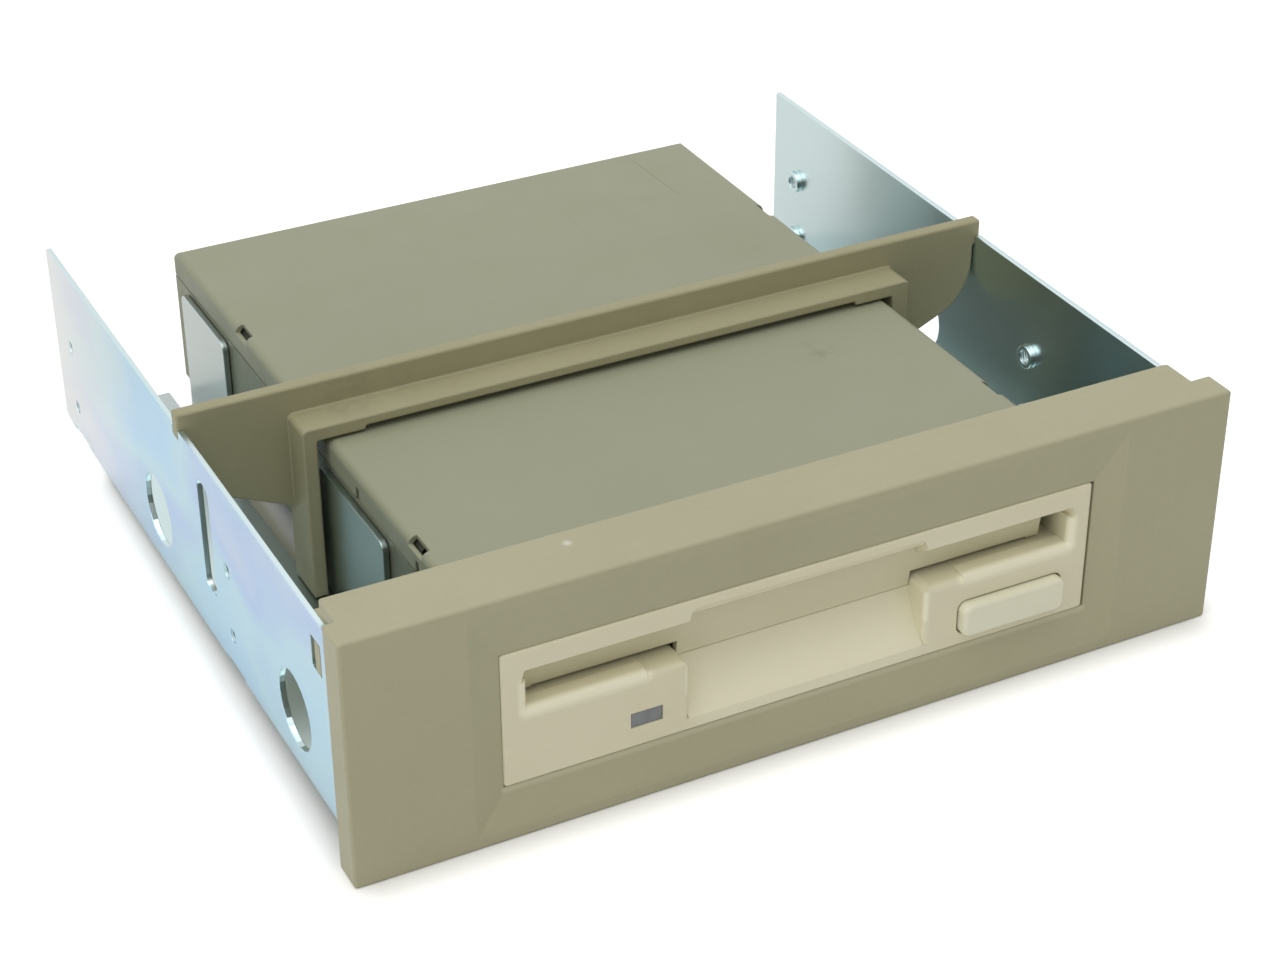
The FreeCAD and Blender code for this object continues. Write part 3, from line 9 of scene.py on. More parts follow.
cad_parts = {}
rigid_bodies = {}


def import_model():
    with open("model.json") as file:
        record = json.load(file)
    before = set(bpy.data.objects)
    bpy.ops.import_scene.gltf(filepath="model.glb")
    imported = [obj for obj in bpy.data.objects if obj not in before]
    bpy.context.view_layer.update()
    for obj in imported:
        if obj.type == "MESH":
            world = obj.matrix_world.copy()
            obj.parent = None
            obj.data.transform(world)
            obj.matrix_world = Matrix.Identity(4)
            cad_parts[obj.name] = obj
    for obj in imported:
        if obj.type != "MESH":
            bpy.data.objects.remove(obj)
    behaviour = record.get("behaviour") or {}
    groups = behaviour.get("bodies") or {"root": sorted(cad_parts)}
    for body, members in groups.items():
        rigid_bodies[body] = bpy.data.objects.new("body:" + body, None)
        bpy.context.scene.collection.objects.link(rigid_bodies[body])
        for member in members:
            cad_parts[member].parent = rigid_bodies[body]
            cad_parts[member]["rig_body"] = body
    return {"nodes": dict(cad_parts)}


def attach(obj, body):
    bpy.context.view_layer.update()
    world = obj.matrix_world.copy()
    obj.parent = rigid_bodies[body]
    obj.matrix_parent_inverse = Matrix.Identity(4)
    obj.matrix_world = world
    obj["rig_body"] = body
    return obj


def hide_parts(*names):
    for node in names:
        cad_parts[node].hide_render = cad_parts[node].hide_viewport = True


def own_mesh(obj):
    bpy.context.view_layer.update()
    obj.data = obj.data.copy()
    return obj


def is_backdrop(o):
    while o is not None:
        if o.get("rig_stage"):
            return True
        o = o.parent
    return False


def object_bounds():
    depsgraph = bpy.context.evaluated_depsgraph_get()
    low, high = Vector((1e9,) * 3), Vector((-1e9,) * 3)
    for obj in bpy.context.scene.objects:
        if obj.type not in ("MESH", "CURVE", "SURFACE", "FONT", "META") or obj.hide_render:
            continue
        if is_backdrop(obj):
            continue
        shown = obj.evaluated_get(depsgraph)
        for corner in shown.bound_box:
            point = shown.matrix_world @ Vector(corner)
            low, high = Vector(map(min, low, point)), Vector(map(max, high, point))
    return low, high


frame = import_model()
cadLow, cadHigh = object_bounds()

# places are in mm, from the middle of the front panel's face at its lower edge
mm = 0.001
panelFace = 68.6  # the face lies this far before the origin
panelTop = 42
coverTop = 34.3
railFace = 73  # outer side of the rails
railDepth = 138
railFoot = 5
boardUnder = 10.6
spindleY = 59.5
bothSides = (-1, 1)
collarHoles = [(side, y, z) for side in bothSides for y in (50.0, 129.25) for z in (12.4, 24.24)]
dataColumns = [-40.82 + 2.54 * i for i in range(17)]
powerColumns = [33.5 + (i - 1.5) * 2.5 for i in range(4)]


def at(x, y, z):
    return Vector((x, y - panelFace, z)) * mm


def newPiece(name, thing):
    piece = bpy.data.objects.new(name, thing)
    bpy.context.scene.collection.objects.link(piece)
    return piece


def cleared(owner):
    owner.use_nodes = True
    owner.node_tree.nodes.clear()
    return owner.node_tree


def put(tree, kind, inputs=None, **traits):
    node = tree.nodes.new(kind)
    for trait, value in traits.items():
        setattr(node, trait, value)
    for key, value in (inputs or {}).items():
        socket = node.inputs[key]
        if isinstance(value, bpy.types.NodeSocket):
            tree.links.new(value, socket)
        else:
            socket.default_value = value
    return node


def made(tree, kind, inputs=None, **traits):
    return put(tree, kind, inputs, **traits).outputs[0]


def maths(tree, operation, first, second=0.0):
    return made(tree, "ShaderNodeMath", {0: first, 1: second}, operation=operation)


def times(tree, first, second):
    return maths(tree, "MULTIPLY", first, second)


def vectors(tree, operation, *inputs):
    node = put(tree, "ShaderNodeVectorMath", dict(enumerate(inputs)), operation=operation)
    return node.outputs["Value" if operation in ("LENGTH", "DISTANCE", "DOT_PRODUCT") else "Vector"]


def spread(tree, value, low, high, toLow=0.0, toHigh=1.0, **traits):
    return made(tree, "ShaderNodeMapRange", {"Value": value, "From Min": low, "From Max": high,
                                             "To Min": toLow, "To Max": toHigh}, **traits)


def blendColor(tree, factor, *colors):
    first, second = [color if isinstance(color, bpy.types.NodeSocket) else (*color, 1) for color in colors]
    return put(tree, "ShaderNodeMix", {0: factor, 6: first, 7: second}, data_type="RGBA").outputs[2]


# the paint shows where the mask is, by the given strength
def tinge(tree, color, mask, strength, paint):
    return blendColor(tree, times(tree, mask, strength), color, paint)


# the camera stands where the photo was taken
photoCamera = {
    "place": (-0.170829, -0.346373, 0.245977),
    "azimuth": 27.1056,
    "elevation": 31.4723,
    "roll": -0.2638,
    "lens": 75.28,
    "sensor": 36.0,
    "clip": (0.01, 20),
}


def buildCamera(spec):
    turn, dip, roll = [math.radians(spec[angle]) for angle in ("azimuth", "elevation", "roll")]
    ahead = Vector((math.sin(turn) * math.cos(dip), math.cos(turn) * math.cos(dip), -math.sin(dip)))
    flat = Vector((math.cos(turn), -math.sin(turn), 0))
    upright = flat.cross(ahead)
    across = flat * math.cos(roll) + upright * math.sin(roll)
    upward = upright * math.cos(roll) - flat * math.sin(roll)
    lens = bpy.data.cameras.new("photoCamera")
    lens.lens = spec["lens"]
    lens.sensor_width = spec["sensor"]
    lens.clip_start, lens.clip_end = spec["clip"]
    pose = Matrix((across, upward, -ahead)).transposed().to_4x4()
    pose.translation = Vector(spec["place"])
    camera = newPiece("photoCamera", lens)
    camera.matrix_world = pose
    bpy.context.scene.camera = camera


studio = {
    "floorSide": 6.0,
    "floorColor": (0.88, 0.88, 0.88),
    "floorGlow": 0.55,   # seen by camera and mirror rays only, so the floor reads as white paper
    "mirrorShare": 0.5,  # a mirror ray sees this part of the glow
    "pitMiddle": (0, -11 * mm, 0),  # between the rails the paper keeps its own shade
    "pitHalf": (69.5 * mm, 55.2 * mm, 1),
    "pitFade": 10 * mm,  # the glow grows over this distance from the pit outwards
    "wingMiddle": (-60 * mm, 26 * mm, 0),  # below the left wing a painted shadow darkens the paper's colour
    "wingHalf": (7.5 * mm, 18 * mm, 1),
    "wingFade": 4 * mm,
    "wingShadowColor": (0.42, 0.42, 0.335),
    "worldLight": 0.312,
    "worldColor": (1.0, 0.97, 0.86),
    "lampAim": (0, 69, 20),
    "lamps": {"overhead": (7.4, 1.2, (-0.28, -0.30, 1.05)),  # power, side, place
              "behind": (1.5, 1.0, (0.15, 0.45, 1.05)),
              "left": (1.8, 0.6, (-1.4, -0.2, 0.35))},
}


# one for a ray from the camera or through glass, and the given share for a mirror ray
def seenRays(tree, mirrorShare=1.0):
    rays = put(tree, "ShaderNodeLightPath").outputs
    seen = maths(tree, "MAXIMUM", rays["Is Camera Ray"], times(tree, rays["Is Glossy Ray"], mirrorShare))
    return maths(tree, "MAXIMUM", seen, rays["Is Transmission Ray"])


# the floor touches the panel's lower edge and the heels of the two rails
def buildFloor(spec):
    near, far = at(0, 0, 0), at(0, railDepth, railFoot)
    lean = math.atan2(far.z - near.z, far.y - near.y)
    tilt = Matrix.Translation(near) @ Matrix.Rotation(lean, 4, "X")
    half = spec["floorSide"] / 2
    corners = [tilt @ Vector((x, y, 0))
               for x, y in ((-half, -half), (half, -half), (half, half), (-half, half))]
    mesh = bpy.data.meshes.new("paperFloor")
    mesh.from_pydata(corners, [], [(0, 1, 2, 3)])
    paper = bpy.data.materials.new("paper")
    tree = cleared(paper)
    outside = []
    for area in ("pit", "wing"):
        away = put(tree, "ShaderNodeTexCoord").outputs["Object"]
        away = vectors(tree, "ABSOLUTE", vectors(tree, "SUBTRACT", away, spec[area + "Middle"]))
        away = vectors(tree, "MAXIMUM", vectors(tree, "SUBTRACT", away, spec[area + "Half"]), (0, 0, 0))
        outside.append(spread(tree, vectors(tree, "LENGTH", away), 0.0, spec[area + "Fade"],
                              interpolation_type="SMOOTHSTEP"))
    glow = times(tree, seenRays(tree, spec["mirrorShare"]), times(tree, outside[0], spec["floorGlow"]))
    # the paper's colour, with a painted shadow below the left wing
    shade = blendColor(tree, outside[1], spec["wingShadowColor"], spec["floorColor"])
    matte = made(tree, "ShaderNodeBsdfDiffuse", {"Color": shade})
    light = made(tree, "ShaderNodeEmission", {"Strength": glow})
    both = made(tree, "ShaderNodeAddShader", {0: matte, 1: light})
    put(tree, "ShaderNodeOutputMaterial", {"Surface": both})
    mesh.materials.append(paper)
    newPiece("paperFloor", mesh)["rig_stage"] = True


def buildLights(spec):
    world = bpy.data.worlds.new("studio")
    tree = cleared(world)
    seen = seenRays(tree)
    warmth = blendColor(tree, seen, spec["worldColor"], (1, 1, 1))
    level = spread(tree, seen, 0.0, 1.0, spec["worldLight"])
    sky = made(tree, "ShaderNodeBackground", {"Color": warmth, "Strength": level})
    put(tree, "ShaderNodeOutputWorld", {"Surface": sky})
    bpy.context.scene.world = world
    for name, (power, side, place) in spec["lamps"].items():
        lamp = bpy.data.lights.new(name + "Softbox", "AREA")
        lamp.shape = "SQUARE"
        lamp.size = side
        lamp.energy = power
        holder = newPiece(name + "Softbox", lamp)
        holder.location = place
        holder.visible_glossy = name != "left"  # no hot spot on the rail beside it
        holder.rotation_mode = "QUATERNION"
        holder.rotation_quaternion = (at(*spec["lampAim"]) - holder.location).to_track_quat("-Z", "Y")


bpy.context.scene.view_settings.view_transform = "Standard"
buildCamera(photoCamera)
buildFloor(studio)
buildLights(studio)
print("camera and studio are up")


# finishes: every pattern lies on Object coordinates, so it stays on the piece
finishes = {}


def startFinish(name):
    finishes[name] = bpy.data.materials.new(name)
    tree = cleared(finishes[name])
    shader = put(tree, "ShaderNodeBsdfPrincipled")
    put(tree, "ShaderNodeOutputMaterial", {"Surface": shader.outputs[0]})
    return tree, shader, put(tree, "ShaderNodeTexCoord").outputs["Object"]


def dress(tree, shader, color, gloss, normal):
    for label, value in (("Base Color", color), ("Roughness", gloss), ("Normal", normal)):
        tree.links.new(value, shader.inputs[label])


def noise(tree, place, scale, detail=4.0, rough=0.55, stretch=None):
    if stretch:
        place = made(tree, "ShaderNodeMapping", {"Vector": place, "Scale": stretch})
    return put(tree, "ShaderNodeTexNoise",
               {"Vector": place, "Scale": scale, "Detail": detail, "Roughness": rough}).outputs["Fac"]


def bands(tree, value, stops):
    node = put(tree, "ShaderNodeValToRGB", {"Fac": value})
    ramp = node.color_ramp
    while len(ramp.elements) < len(stops):
        ramp.elements.new(0.5)
    for element, (position, color) in zip(ramp.elements, stops):
        element.position = position
        element.color = (*color, 1)
    return node.outputs["Color"]


def relief(tree, height, depth, strength, under):
    return made(tree, "ShaderNodeBump", {"Height": height, "Distance": depth * mm, "Strength": strength,
                                         "Normal": under})


# a mark at one spot or along one line, ragged at its rim, or a clean round fleck; it lays stains and flecks,
# and painted highlights and painted shade too
def mark(tree, place, spot, radius, ragged):
    if isinstance(spot, tuple):
        start, run = spot[0], spot[1] - spot[0]
        off = vectors(tree, "SUBTRACT", place, start)
        share = spread(tree, vectors(tree, "DOT_PRODUCT", off, run / run.length_squared), 0, 1)
        spot = vectors(tree, "MULTIPLY_ADD", share, run, start)
    gap = vectors(tree, "DISTANCE", place, spot)
    if ragged is None:
        return spread(tree, gap, radius * mm, radius * 0.3 * mm)
    inside = spread(tree, gap, radius * mm, radius * 0.2 * mm)
    grain = noise(tree, place, 2200 / radius, 5, 0.7)
    return times(tree, inside, spread(tree, grain, ragged, ragged + 0.22))


# a thin straight line between two points of one level face
def scratch(tree, place, start, end, width):
    run = end - start
    heading = (0, 0, math.atan2(run.y, run.x))
    laid = made(tree, "ShaderNodeMapping", {"Vector": place, "Location": start, "Rotation": heading},
                vector_type="TEXTURE")
    parts = put(tree, "ShaderNodeSeparateXYZ", {0: laid}).outputs
    thin = spread(tree, maths(tree, "ABSOLUTE", parts["Y"]), width * mm, width * 0.4 * mm)
    begin = spread(tree, parts["X"], 0, 0.8 * mm)
    stop = spread(tree, parts["X"], run.length, run.length - 0.8 * mm)
    return times(tree, thin, times(tree, begin, stop))


# the normal with rounded edges, and where it leaves the plain one
def edgeMask(tree, radius):
    soft = made(tree, "ShaderNodeBevel", {"Radius": radius * mm}, samples=4)
    plain = put(tree, "ShaderNodeNewGeometry").outputs["Normal"]
    return soft, spread(tree, vectors(tree, "DOT_PRODUCT", soft, plain), 0.995, 0.86)


# flecks, stains and scratches that this one object has picked up, and the painted highlights and painted
# shade laid on it the same way
def marked(tree, place, color, spec):
    for spot, radius, strength, paint, ragged in spec.get("marks", []):
        color = tinge(tree, color, mark(tree, place, spot, radius, ragged), strength, paint)
    for start, end, width, strength, paint in spec.get("scratches", []):
        color = tinge(tree, color, scratch(tree, place, start, end, width), strength, paint)
    return color


def plastic(name, spec):
    tree, shader, place = startFinish(name)
    cloud = noise(tree, place, spec.get("cloudScale", 26), 3, 0.6)
    color = blendColor(tree, spread(tree, cloud, 0.32, 0.68), spec["shade"], spec["tint"])
    dull = spread(tree, noise(tree, place, spec.get("speckScale", 900), 5, 0.7), 0.38, 0.70)
    color = tinge(tree, color, dull, spec.get("speck", 0.10), [c * 0.72 for c in spec["shade"]])
    soft, edge = edgeMask(tree, spec.get("edge", 0.2))
    # paler edges: partly wear, partly a painted highlight
    wearAndSheenMask = times(tree, edge, spread(tree, noise(tree, place, 140, 4), 0.35, 0.75, 0.1, 1.0))
    color = tinge(tree, color, wearAndSheenMask, spec.get("wear", 0.30), [min(1, c * 1.22) for c in spec["tint"]])
    # painted shade: colour darkened in corners and recesses by ambient occlusion
    corner = put(tree, "ShaderNodeAmbientOcclusion", {"Distance": 3.0 * mm}, samples=6).outputs["AO"]
    grime = spread(tree, corner, 0.75, 0.15)
    color = tinge(tree, color, grime, spec.get("grime", 0.28), [c * 0.42 for c in spec["shade"]])
    gloss = spread(tree, noise(tree, place, 90, 4), 0.3, 0.7, spec["rough"] - 0.06, spec["rough"] + 0.08)
    shader.inputs["Specular IOR Level"].default_value = spec.get("specular", 0.42)
    grain = noise(tree, place, spec.get("grainScale", 2600), 3, 0.6)
    normal = relief(tree, grain, spec["grain"], 0.55, soft)
    dress(tree, shader, marked(tree, place, color, spec), gloss, normal)


# passivated zinc: faint blue and lilac outside, paler towards the back; each ear and the rails' inner sides
# get plainer, darker tints, a painted reflection of the shaded parts they face, with the front ear painted
# darkest
def zincFilm(tree, place, cloud, spec):
    wave = noise(tree, place, spec["filmScale"], 2.5, 0.5, spec["filmStretch"])
    color = bands(tree, wave, spec["film"])
    color = tinge(tree, color, spread(tree, cloud, 0.35, 0.7), 0.25, spec["tint"])
    parts = put(tree, "ShaderNodeSeparateXYZ", {0: place}).outputs
    across = maths(tree, "ABSOLUTE", parts["X"])
    paleFrom, paleTo, earsFrom, earsTo = [at(0, y, 0).y for y in spec["paleReach"] + spec["earReach"]]
    color = blendColor(tree, spread(tree, parts["Y"], paleFrom, paleTo, 0.0, 0.8), color, spec["rear"])
    # painted shade on each ear, darker at the front
    ears = blendColor(tree, spread(tree, parts["Y"], earsFrom, earsTo), spec["ears"], spec["rearEars"])
    railsFrom, railsTo, outerFrom, outerTo = [x * mm for x in spec["railReach"] + spec["outerReach"]]
    inner = blendColor(tree, spread(tree, across, railsFrom, railsTo), ears, spec["inside"])
    return blendColor(tree, spread(tree, across, outerFrom, outerTo), inner, color)


def metal(name, spec):
    tree, shader, place = startFinish(name)
    streak = noise(tree, place, spec.get("streakScale", 420), 4, 0.6, spec.get("brush"))
    cloud = noise(tree, place, 45, 4, 0.6)
    if "film" in spec:
        color = zincFilm(tree, place, cloud, spec)
    else:
        color = blendColor(tree, spread(tree, cloud, 0.3, 0.7), spec["shade"], spec["tint"])
    dark = spread(tree, noise(tree, place, 1100, 5, 0.75), 0.56, 0.74)
    color = tinge(tree, color, dark, spec.get("stain", 0.18), [c * 0.5 for c in spec["shade"]])
    soft, edge = edgeMask(tree, 0.2)
    # paler edges: partly wear, partly a painted highlight
    bright = [min(1, c * spec.get("shine", 1.18)) for c in spec["tint"]]
    color = tinge(tree, color, edge, spec.get("wear", 0.35), bright)
    shader.inputs["Metallic"].default_value = spec.get("metallic", 1.0)
    mix = maths(tree, "ADD", times(tree, streak, 0.6), times(tree, cloud, 0.4))
    swing = spec.get("swing", 0.09)
    gloss = spread(tree, mix, 0.3, 0.7, spec["rough"] - swing, spec["rough"] + swing)
    normal = relief(tree, streak, spec["grain"], 0.5, soft)
    dress(tree, shader, marked(tree, place, color, spec), gloss, normal)


# painted highlights on the slot's lips, the scoop's edges and the scoop's floor, which face the light
bezelHighlight = (0.97, 0.945, 0.755)
bezelHighlights = [((at(side * a, 1.2, b), at(side * c, 1.2, d)), width, 0.85, bezelHighlight, None) for side in bothSides
        for a, b, c, d, width in ((46.2, 20.9, 27.2, 20.9, 1.5), (46.6, 21.4, 46.6, 25.8, 1.2),
                                  (20.4, 20.0, 20.4, 15.6, 0.7))]
bezelHighlights.append(((at(-15, 4.5, 12), at(15, 4.5, 12)), 8.0, 0.5, bezelHighlight, None))
# painted shade on the chassis inside each notch of the cover
notchShade = (0.02, 0.02, 0.015)
notchShadows = [((at(side * 50, y - 1.6, 33.6), at(side * 50, y + 1.6, 33.6)), 4.6, 0.92, notchShade, None)
           for side in bothSides for y in (29.2, 103.0)]
plastics = {
    "panelPlastic": {
        "tint": (0.470, 0.455, 0.312), "shade": (0.440, 0.425, 0.288), "rough": 0.50,
        "cloudScale": 18, "grainScale": 2300, "grain": 0.040, "edge": 0.22, "wear": 0.25, "grime": 0.16,
        # a painted highlight on the strip below the bezel, where it faces up into the light, a fleck and a
        # stain on the top
        "marks": [((at(-50, 1.3, 8.3), at(50, 1.3, 8.3)), 0.75, 0.75, (0.60, 0.58, 0.42), None),
                  (at(-35.86, 8.52, panelTop), 0.95, 0.75, (0.72, 0.71, 0.62), None),
                  (at(12, 4.0, panelTop), 9.0, 0.08, (0.22, 0.20, 0.14), 0.5)]},
    "bridgePlastic": {
        # its tint is darker than the panel's, partly its own colour and partly painted shade for its place
        # behind the panel
        "tint": (0.405, 0.385, 0.245), "shade": (0.365, 0.345, 0.215), "rough": 0.52,
        "cloudScale": 22, "grainScale": 2300, "grain": 0.040, "edge": 0.22, "wear": 0.35, "grime": 0.30,
        "marks": [(at(-45.5, 67.5, 38.6), 6.0, 0.34, (0.20, 0.18, 0.13), 0.42),
                  (at(-35.2, 66.8, 38.4), 5.0, 0.28, (0.22, 0.20, 0.15), 0.45)]},
    "bezelPlastic": {
        "tint": (0.815, 0.780, 0.595), "shade": (0.780, 0.745, 0.555), "rough": 0.44, "cloudScale": 30,
        "grainScale": 3200, "grain": 0.018, "speck": 0.04, "wear": 0.16, "grime": 0.10, "marks": bezelHighlights},
    "flapPlastic": {
        "tint": (0.725, 0.690, 0.505), "shade": (0.690, 0.655, 0.470), "rough": 0.46, "cloudScale": 34,
        "grainScale": 3000, "grain": 0.018, "edge": 0.18, "speck": 0.05, "wear": 0.16, "grime": 0.16},
    "buttonPlastic": {
        "tint": (0.885, 0.870, 0.705), "shade": (0.850, 0.835, 0.665), "rough": 0.38, "cloudScale": 40,
        "grainScale": 3400, "grain": 0.012, "speck": 0.04, "wear": 0.14, "grime": 0.12},
    "coverPaint": {
        "tint": (0.348, 0.360, 0.254), "shade": (0.326, 0.338, 0.236), "rough": 0.46,
        "cloudScale": 12, "speckScale": 1500, "speck": 0.06, "grainScale": 1600, "grain": 0.014,
        "edge": 0.25, "wear": 0.20, "grime": 0.22, "specular": 0.45,
        "marks": [(at(31.5, 52.5, coverTop), 5.0, 0.30, (0.16, 0.16, 0.11), 0.44),
                  (at(20.0, 47.0, coverTop), 7.0, 0.10, (0.18, 0.18, 0.12), 0.5),
                  (at(30.0, 118.0, coverTop), 11.0, 0.06, (0.20, 0.20, 0.14), 0.5)],
        "scratches": [
            (at(38.2, 133.3, coverTop), at(39.0, 115.6, coverTop), 0.28, 0.30, (0.20, 0.20, 0.14)),
            (at(17.0, 121.0, coverTop), at(16.2, 104.0, coverTop), 0.35, 0.10, (0.22, 0.22, 0.15))]},
}
metals = {
    "zincSteel": {
        "tint": (0.50, 0.63, 0.73), "shade": (0.45, 0.54, 0.57), "rough": 0.28,
        "film": [(0.28, (0.58, 0.66, 0.71)), (0.41, (0.36, 0.58, 0.77)), (0.50, (0.43, 0.63, 0.71)),
                 (0.58, (0.38, 0.51, 0.73)), (0.68, (0.53, 0.58, 0.71))],
        "filmScale": 24, "filmStretch": (1.0, 0.55, 1.2), "inside": (0.61, 0.73, 0.74),
        # painted reflection: each ear and the rails' inner sides get darker, plainer tints for the shaded
        # parts they face
        "ears": (0.33, 0.40, 0.385), "rearEars": (0.46, 0.52, 0.51), "rear": (0.81, 0.80, 0.775),
        "paleReach": (92, 137), "earReach": (60, 95),  # from front to back
        "railReach": (58, 66), "outerReach": (72.7, 72.9),  # from the middle to the sides
        "grain": 0.0, "stain": 0.0, "wear": 0.8, "shine": 1.6, "swing": 0.0},  # smooth all over, with a strong painted highlight along the edges
}
# the plainer ones, as tint, shade, roughness, depth of the grain and what else is set
# the dark plastics' edges turn paler: partly wear, partly a painted highlight
darkWearAndSheen = {"wear": 0.35}
plainPlastics = {
    "powerPlastic": ((0.80, 0.77, 0.68), (0.74, 0.70, 0.60), 0.40, 0.012, {}),
    "plungerPlastic": ((0.82, 0.80, 0.74), (0.76, 0.73, 0.66), 0.36, 0.008, {"edge": 0.15}),
    "lampBody": ((0.10, 0.26, 0.06), (0.07, 0.20, 0.04), 0.22, 0.004, {}),
    "magnet": ((0.050, 0.047, 0.047), (0.035, 0.033, 0.033), 0.55, 0.02, darkWearAndSheen),
    "chipEpoxy": ((0.022, 0.022, 0.024), (0.014, 0.014, 0.016), 0.52, 0.02, darkWearAndSheen),
    "connectorPlastic": ((0.020, 0.020, 0.022), (0.012, 0.012, 0.014), 0.42, 0.02, darkWearAndSheen),
    "carriagePlastic": ((0.040, 0.040, 0.044), (0.026, 0.026, 0.030), 0.46, 0.02, darkWearAndSheen),
    "headCeramic": ((0.060, 0.052, 0.046), (0.042, 0.036, 0.032), 0.22, 0.02, darkWearAndSheen),
    "switchPlastic": ((0.026, 0.026, 0.030), (0.016, 0.016, 0.020), 0.44, 0.02, darkWearAndSheen),
}
plainMetals = {
    "chassisMetal": ((0.315, 0.325, 0.240), (0.245, 0.255, 0.190), 0.52, 0.02,
                     {"metallic": 0.55, "streakScale": 900, "stain": 0.25, "marks": notchShadows}),
    "platedSteel": ((0.66, 0.67, 0.65), (0.52, 0.53, 0.52), 0.34, 0.006, {"brush": (1, 0.15, 1)}),
    "brightSteel": ((0.78, 0.78, 0.77), (0.66, 0.66, 0.66), 0.18, 0.002, {"stain": 0.08}),
    "screwSteel": ((0.70, 0.69, 0.64), (0.50, 0.50, 0.48), 0.28, 0.006, {}),
    "springSteel": ((0.58, 0.58, 0.57), (0.42, 0.42, 0.42), 0.26, 0.003, {}),
    "rotorSteel": ((0.62, 0.63, 0.62), (0.50, 0.51, 0.50), 0.30, 0.006, {"stain": 0.14}),
    "bronze": ((0.60, 0.43, 0.22), (0.42, 0.29, 0.14), 0.36, 0.02, {"streakScale": 2200}),
    "coreSteel": ((0.30, 0.31, 0.33), (0.20, 0.20, 0.22), 0.46, 0.05,
                  {"brush": (0.05, 0.05, 4), "streakScale": 1600}),
    "motorCan": ((0.62, 0.61, 0.57), (0.48, 0.47, 0.44), 0.36, 0.006, {}),
    "pinPlate": ((0.82, 0.68, 0.36), (0.66, 0.52, 0.26), 0.24, 0.002, {}),
    "solderTin": ((0.72, 0.73, 0.74), (0.56, 0.57, 0.58), 0.30, 0.01, {}),
}
boards = {  # solder mask, trace, shift of the traces
    "mainBoardMask": ((0.020, 0.105, 0.048), (0.045, 0.185, 0.085), 0.013),
    "motorBoardMask": ((0.040, 0.115, 0.062), (0.075, 0.195, 0.105), 0.029),
}


# circuit board: solder mask over traces that run in both directions
def boardFinish(name, mask, trace, shift):
    tree, shader, place = startFinish(name)
    runs = []
    for turn, move in ((0.0, shift), (math.pi / 2, shift * 1.7)):
        laid = made(tree, "ShaderNodeMapping", {"Vector": place, "Location": (move, move * 0.6, 0),
                                                "Rotation": (0, 0, turn)})
        brick = put(tree, "ShaderNodeTexBrick",
                    {"Vector": laid, "Scale": 115.0, "Mortar Size": 0.035, "Mortar Smooth": 0.15,
                     "Brick Width": 3.2, "Row Height": 0.20}, offset=0.37).outputs["Fac"]
        runs.append(times(tree, brick, spread(tree, noise(tree, laid, 85, 2), 0.50, 0.53)))
    lines = maths(tree, "MAXIMUM", *runs)
    cloud = spread(tree, noise(tree, place, 60, 3), 0.3, 0.7)
    color = blendColor(tree, cloud, mask, [c * 0.82 for c in mask])
    color = tinge(tree, color, lines, 0.7, trace)
    gloss = spread(tree, noise(tree, place, 500, 3), 0.3, 0.7, 0.22, 0.36)
    dress(tree, shader, color, gloss, relief(tree, lines, 0.05, 0.8, edgeMask(tree, 0.2)[0]))


def wireFinish(name):
    tree, shader, place = startFinish(name)
    turns = noise(tree, place, 2400.0, 2.0, 0.5)
    color = blendColor(tree, spread(tree, turns, 0.35, 0.65), (0.42, 0.16, 0.05), (0.66, 0.30, 0.12))
    shader.inputs["Metallic"].default_value = 0.85
    gloss = spread(tree, turns, 0.3, 0.7, 0.26, 0.42)
    dress(tree, shader, color, gloss, relief(tree, turns, 0.12, 0.8, edgeMask(tree, 0.3)[0]))


def lensFinish(name):
    tree, shader, place = startFinish(name)
    cloud = noise(tree, place, 420, 3)
    color = blendColor(tree, spread(tree, cloud, 0.35, 0.65), (0.18, 0.195, 0.215), (0.225, 0.24, 0.26))
    shader.inputs["Coat Weight"].default_value = 0.25
    shader.inputs["Coat Roughness"].default_value = 0.12
    gloss = spread(tree, noise(tree, place, 900, 3), 0.3, 0.7, 0.16, 0.28)
    dress(tree, shader, color, gloss, relief(tree, cloud, 0.01, 0.4, edgeMask(tree, 0.25)[0]))


for mix, full, plain in ((plastic, plastics, plainPlastics), (metal, metals, plainMetals)):
    for name, spec in full.items():
        mix(name, spec)
    for name, (tint, shade, rough, grain, extras) in plain.items():
        mix(name, {"tint": tint, "shade": shade, "rough": rough, "grain": grain, **extras})
for name, spec in boards.items():
    boardFinish(name, *spec)
wireFinish("copperWire")
lensFinish("lensSmoke")
print("finishes are mixed:", len(finishes))


# the solids are spelled like the pieces: front_panel for frontPanel; a slot name is spelled from the finish
# the same way, but nothing takes it up
def spelled(name):
    return re.sub("([A-Z])", r"_\1", name).lower()


def handOver(piece, spec):
    node = spec.get("node", spelled(piece.name))
    added = "rides" in spec  # such a piece stands for no solid
    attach(piece, spec["rides"] if added else frame["nodes"][node]["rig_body"])
    spec.get("slot", spelled(spec["finish"]))
    if not added:
        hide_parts(node)


# the evaluated mesh replaces the piece's own, and its modifiers go
def settle(piece):
    graph = bpy.context.evaluated_depsgraph_get()
    mesh = bpy.data.meshes.new_from_object(piece.evaluated_get(graph), preserve_all_data_layers=True,
                                           depsgraph=graph)
    piece.modifiers.clear()
    piece.data = mesh
    mesh.name = piece.name


def boxed(vert, low, high):
    return all(a <= b <= c for a, b, c in zip(at(*low), vert.co, at(*high)))


# angles in degrees: a fold is sharp, and so is a shallow crease between two flat faces,
# while the steps of a round, which lie between the two, stay smooth
bendAngles = {"flat": 0.5, "creaseFrom": 5, "creaseTo": 21, "fold": 46, "rimFrom": 51.5, "bevelFrom": 50}
bends = {rule: math.radians(angle) for rule, angle in bendAngles.items()}
mergeGap = 0.004 * mm


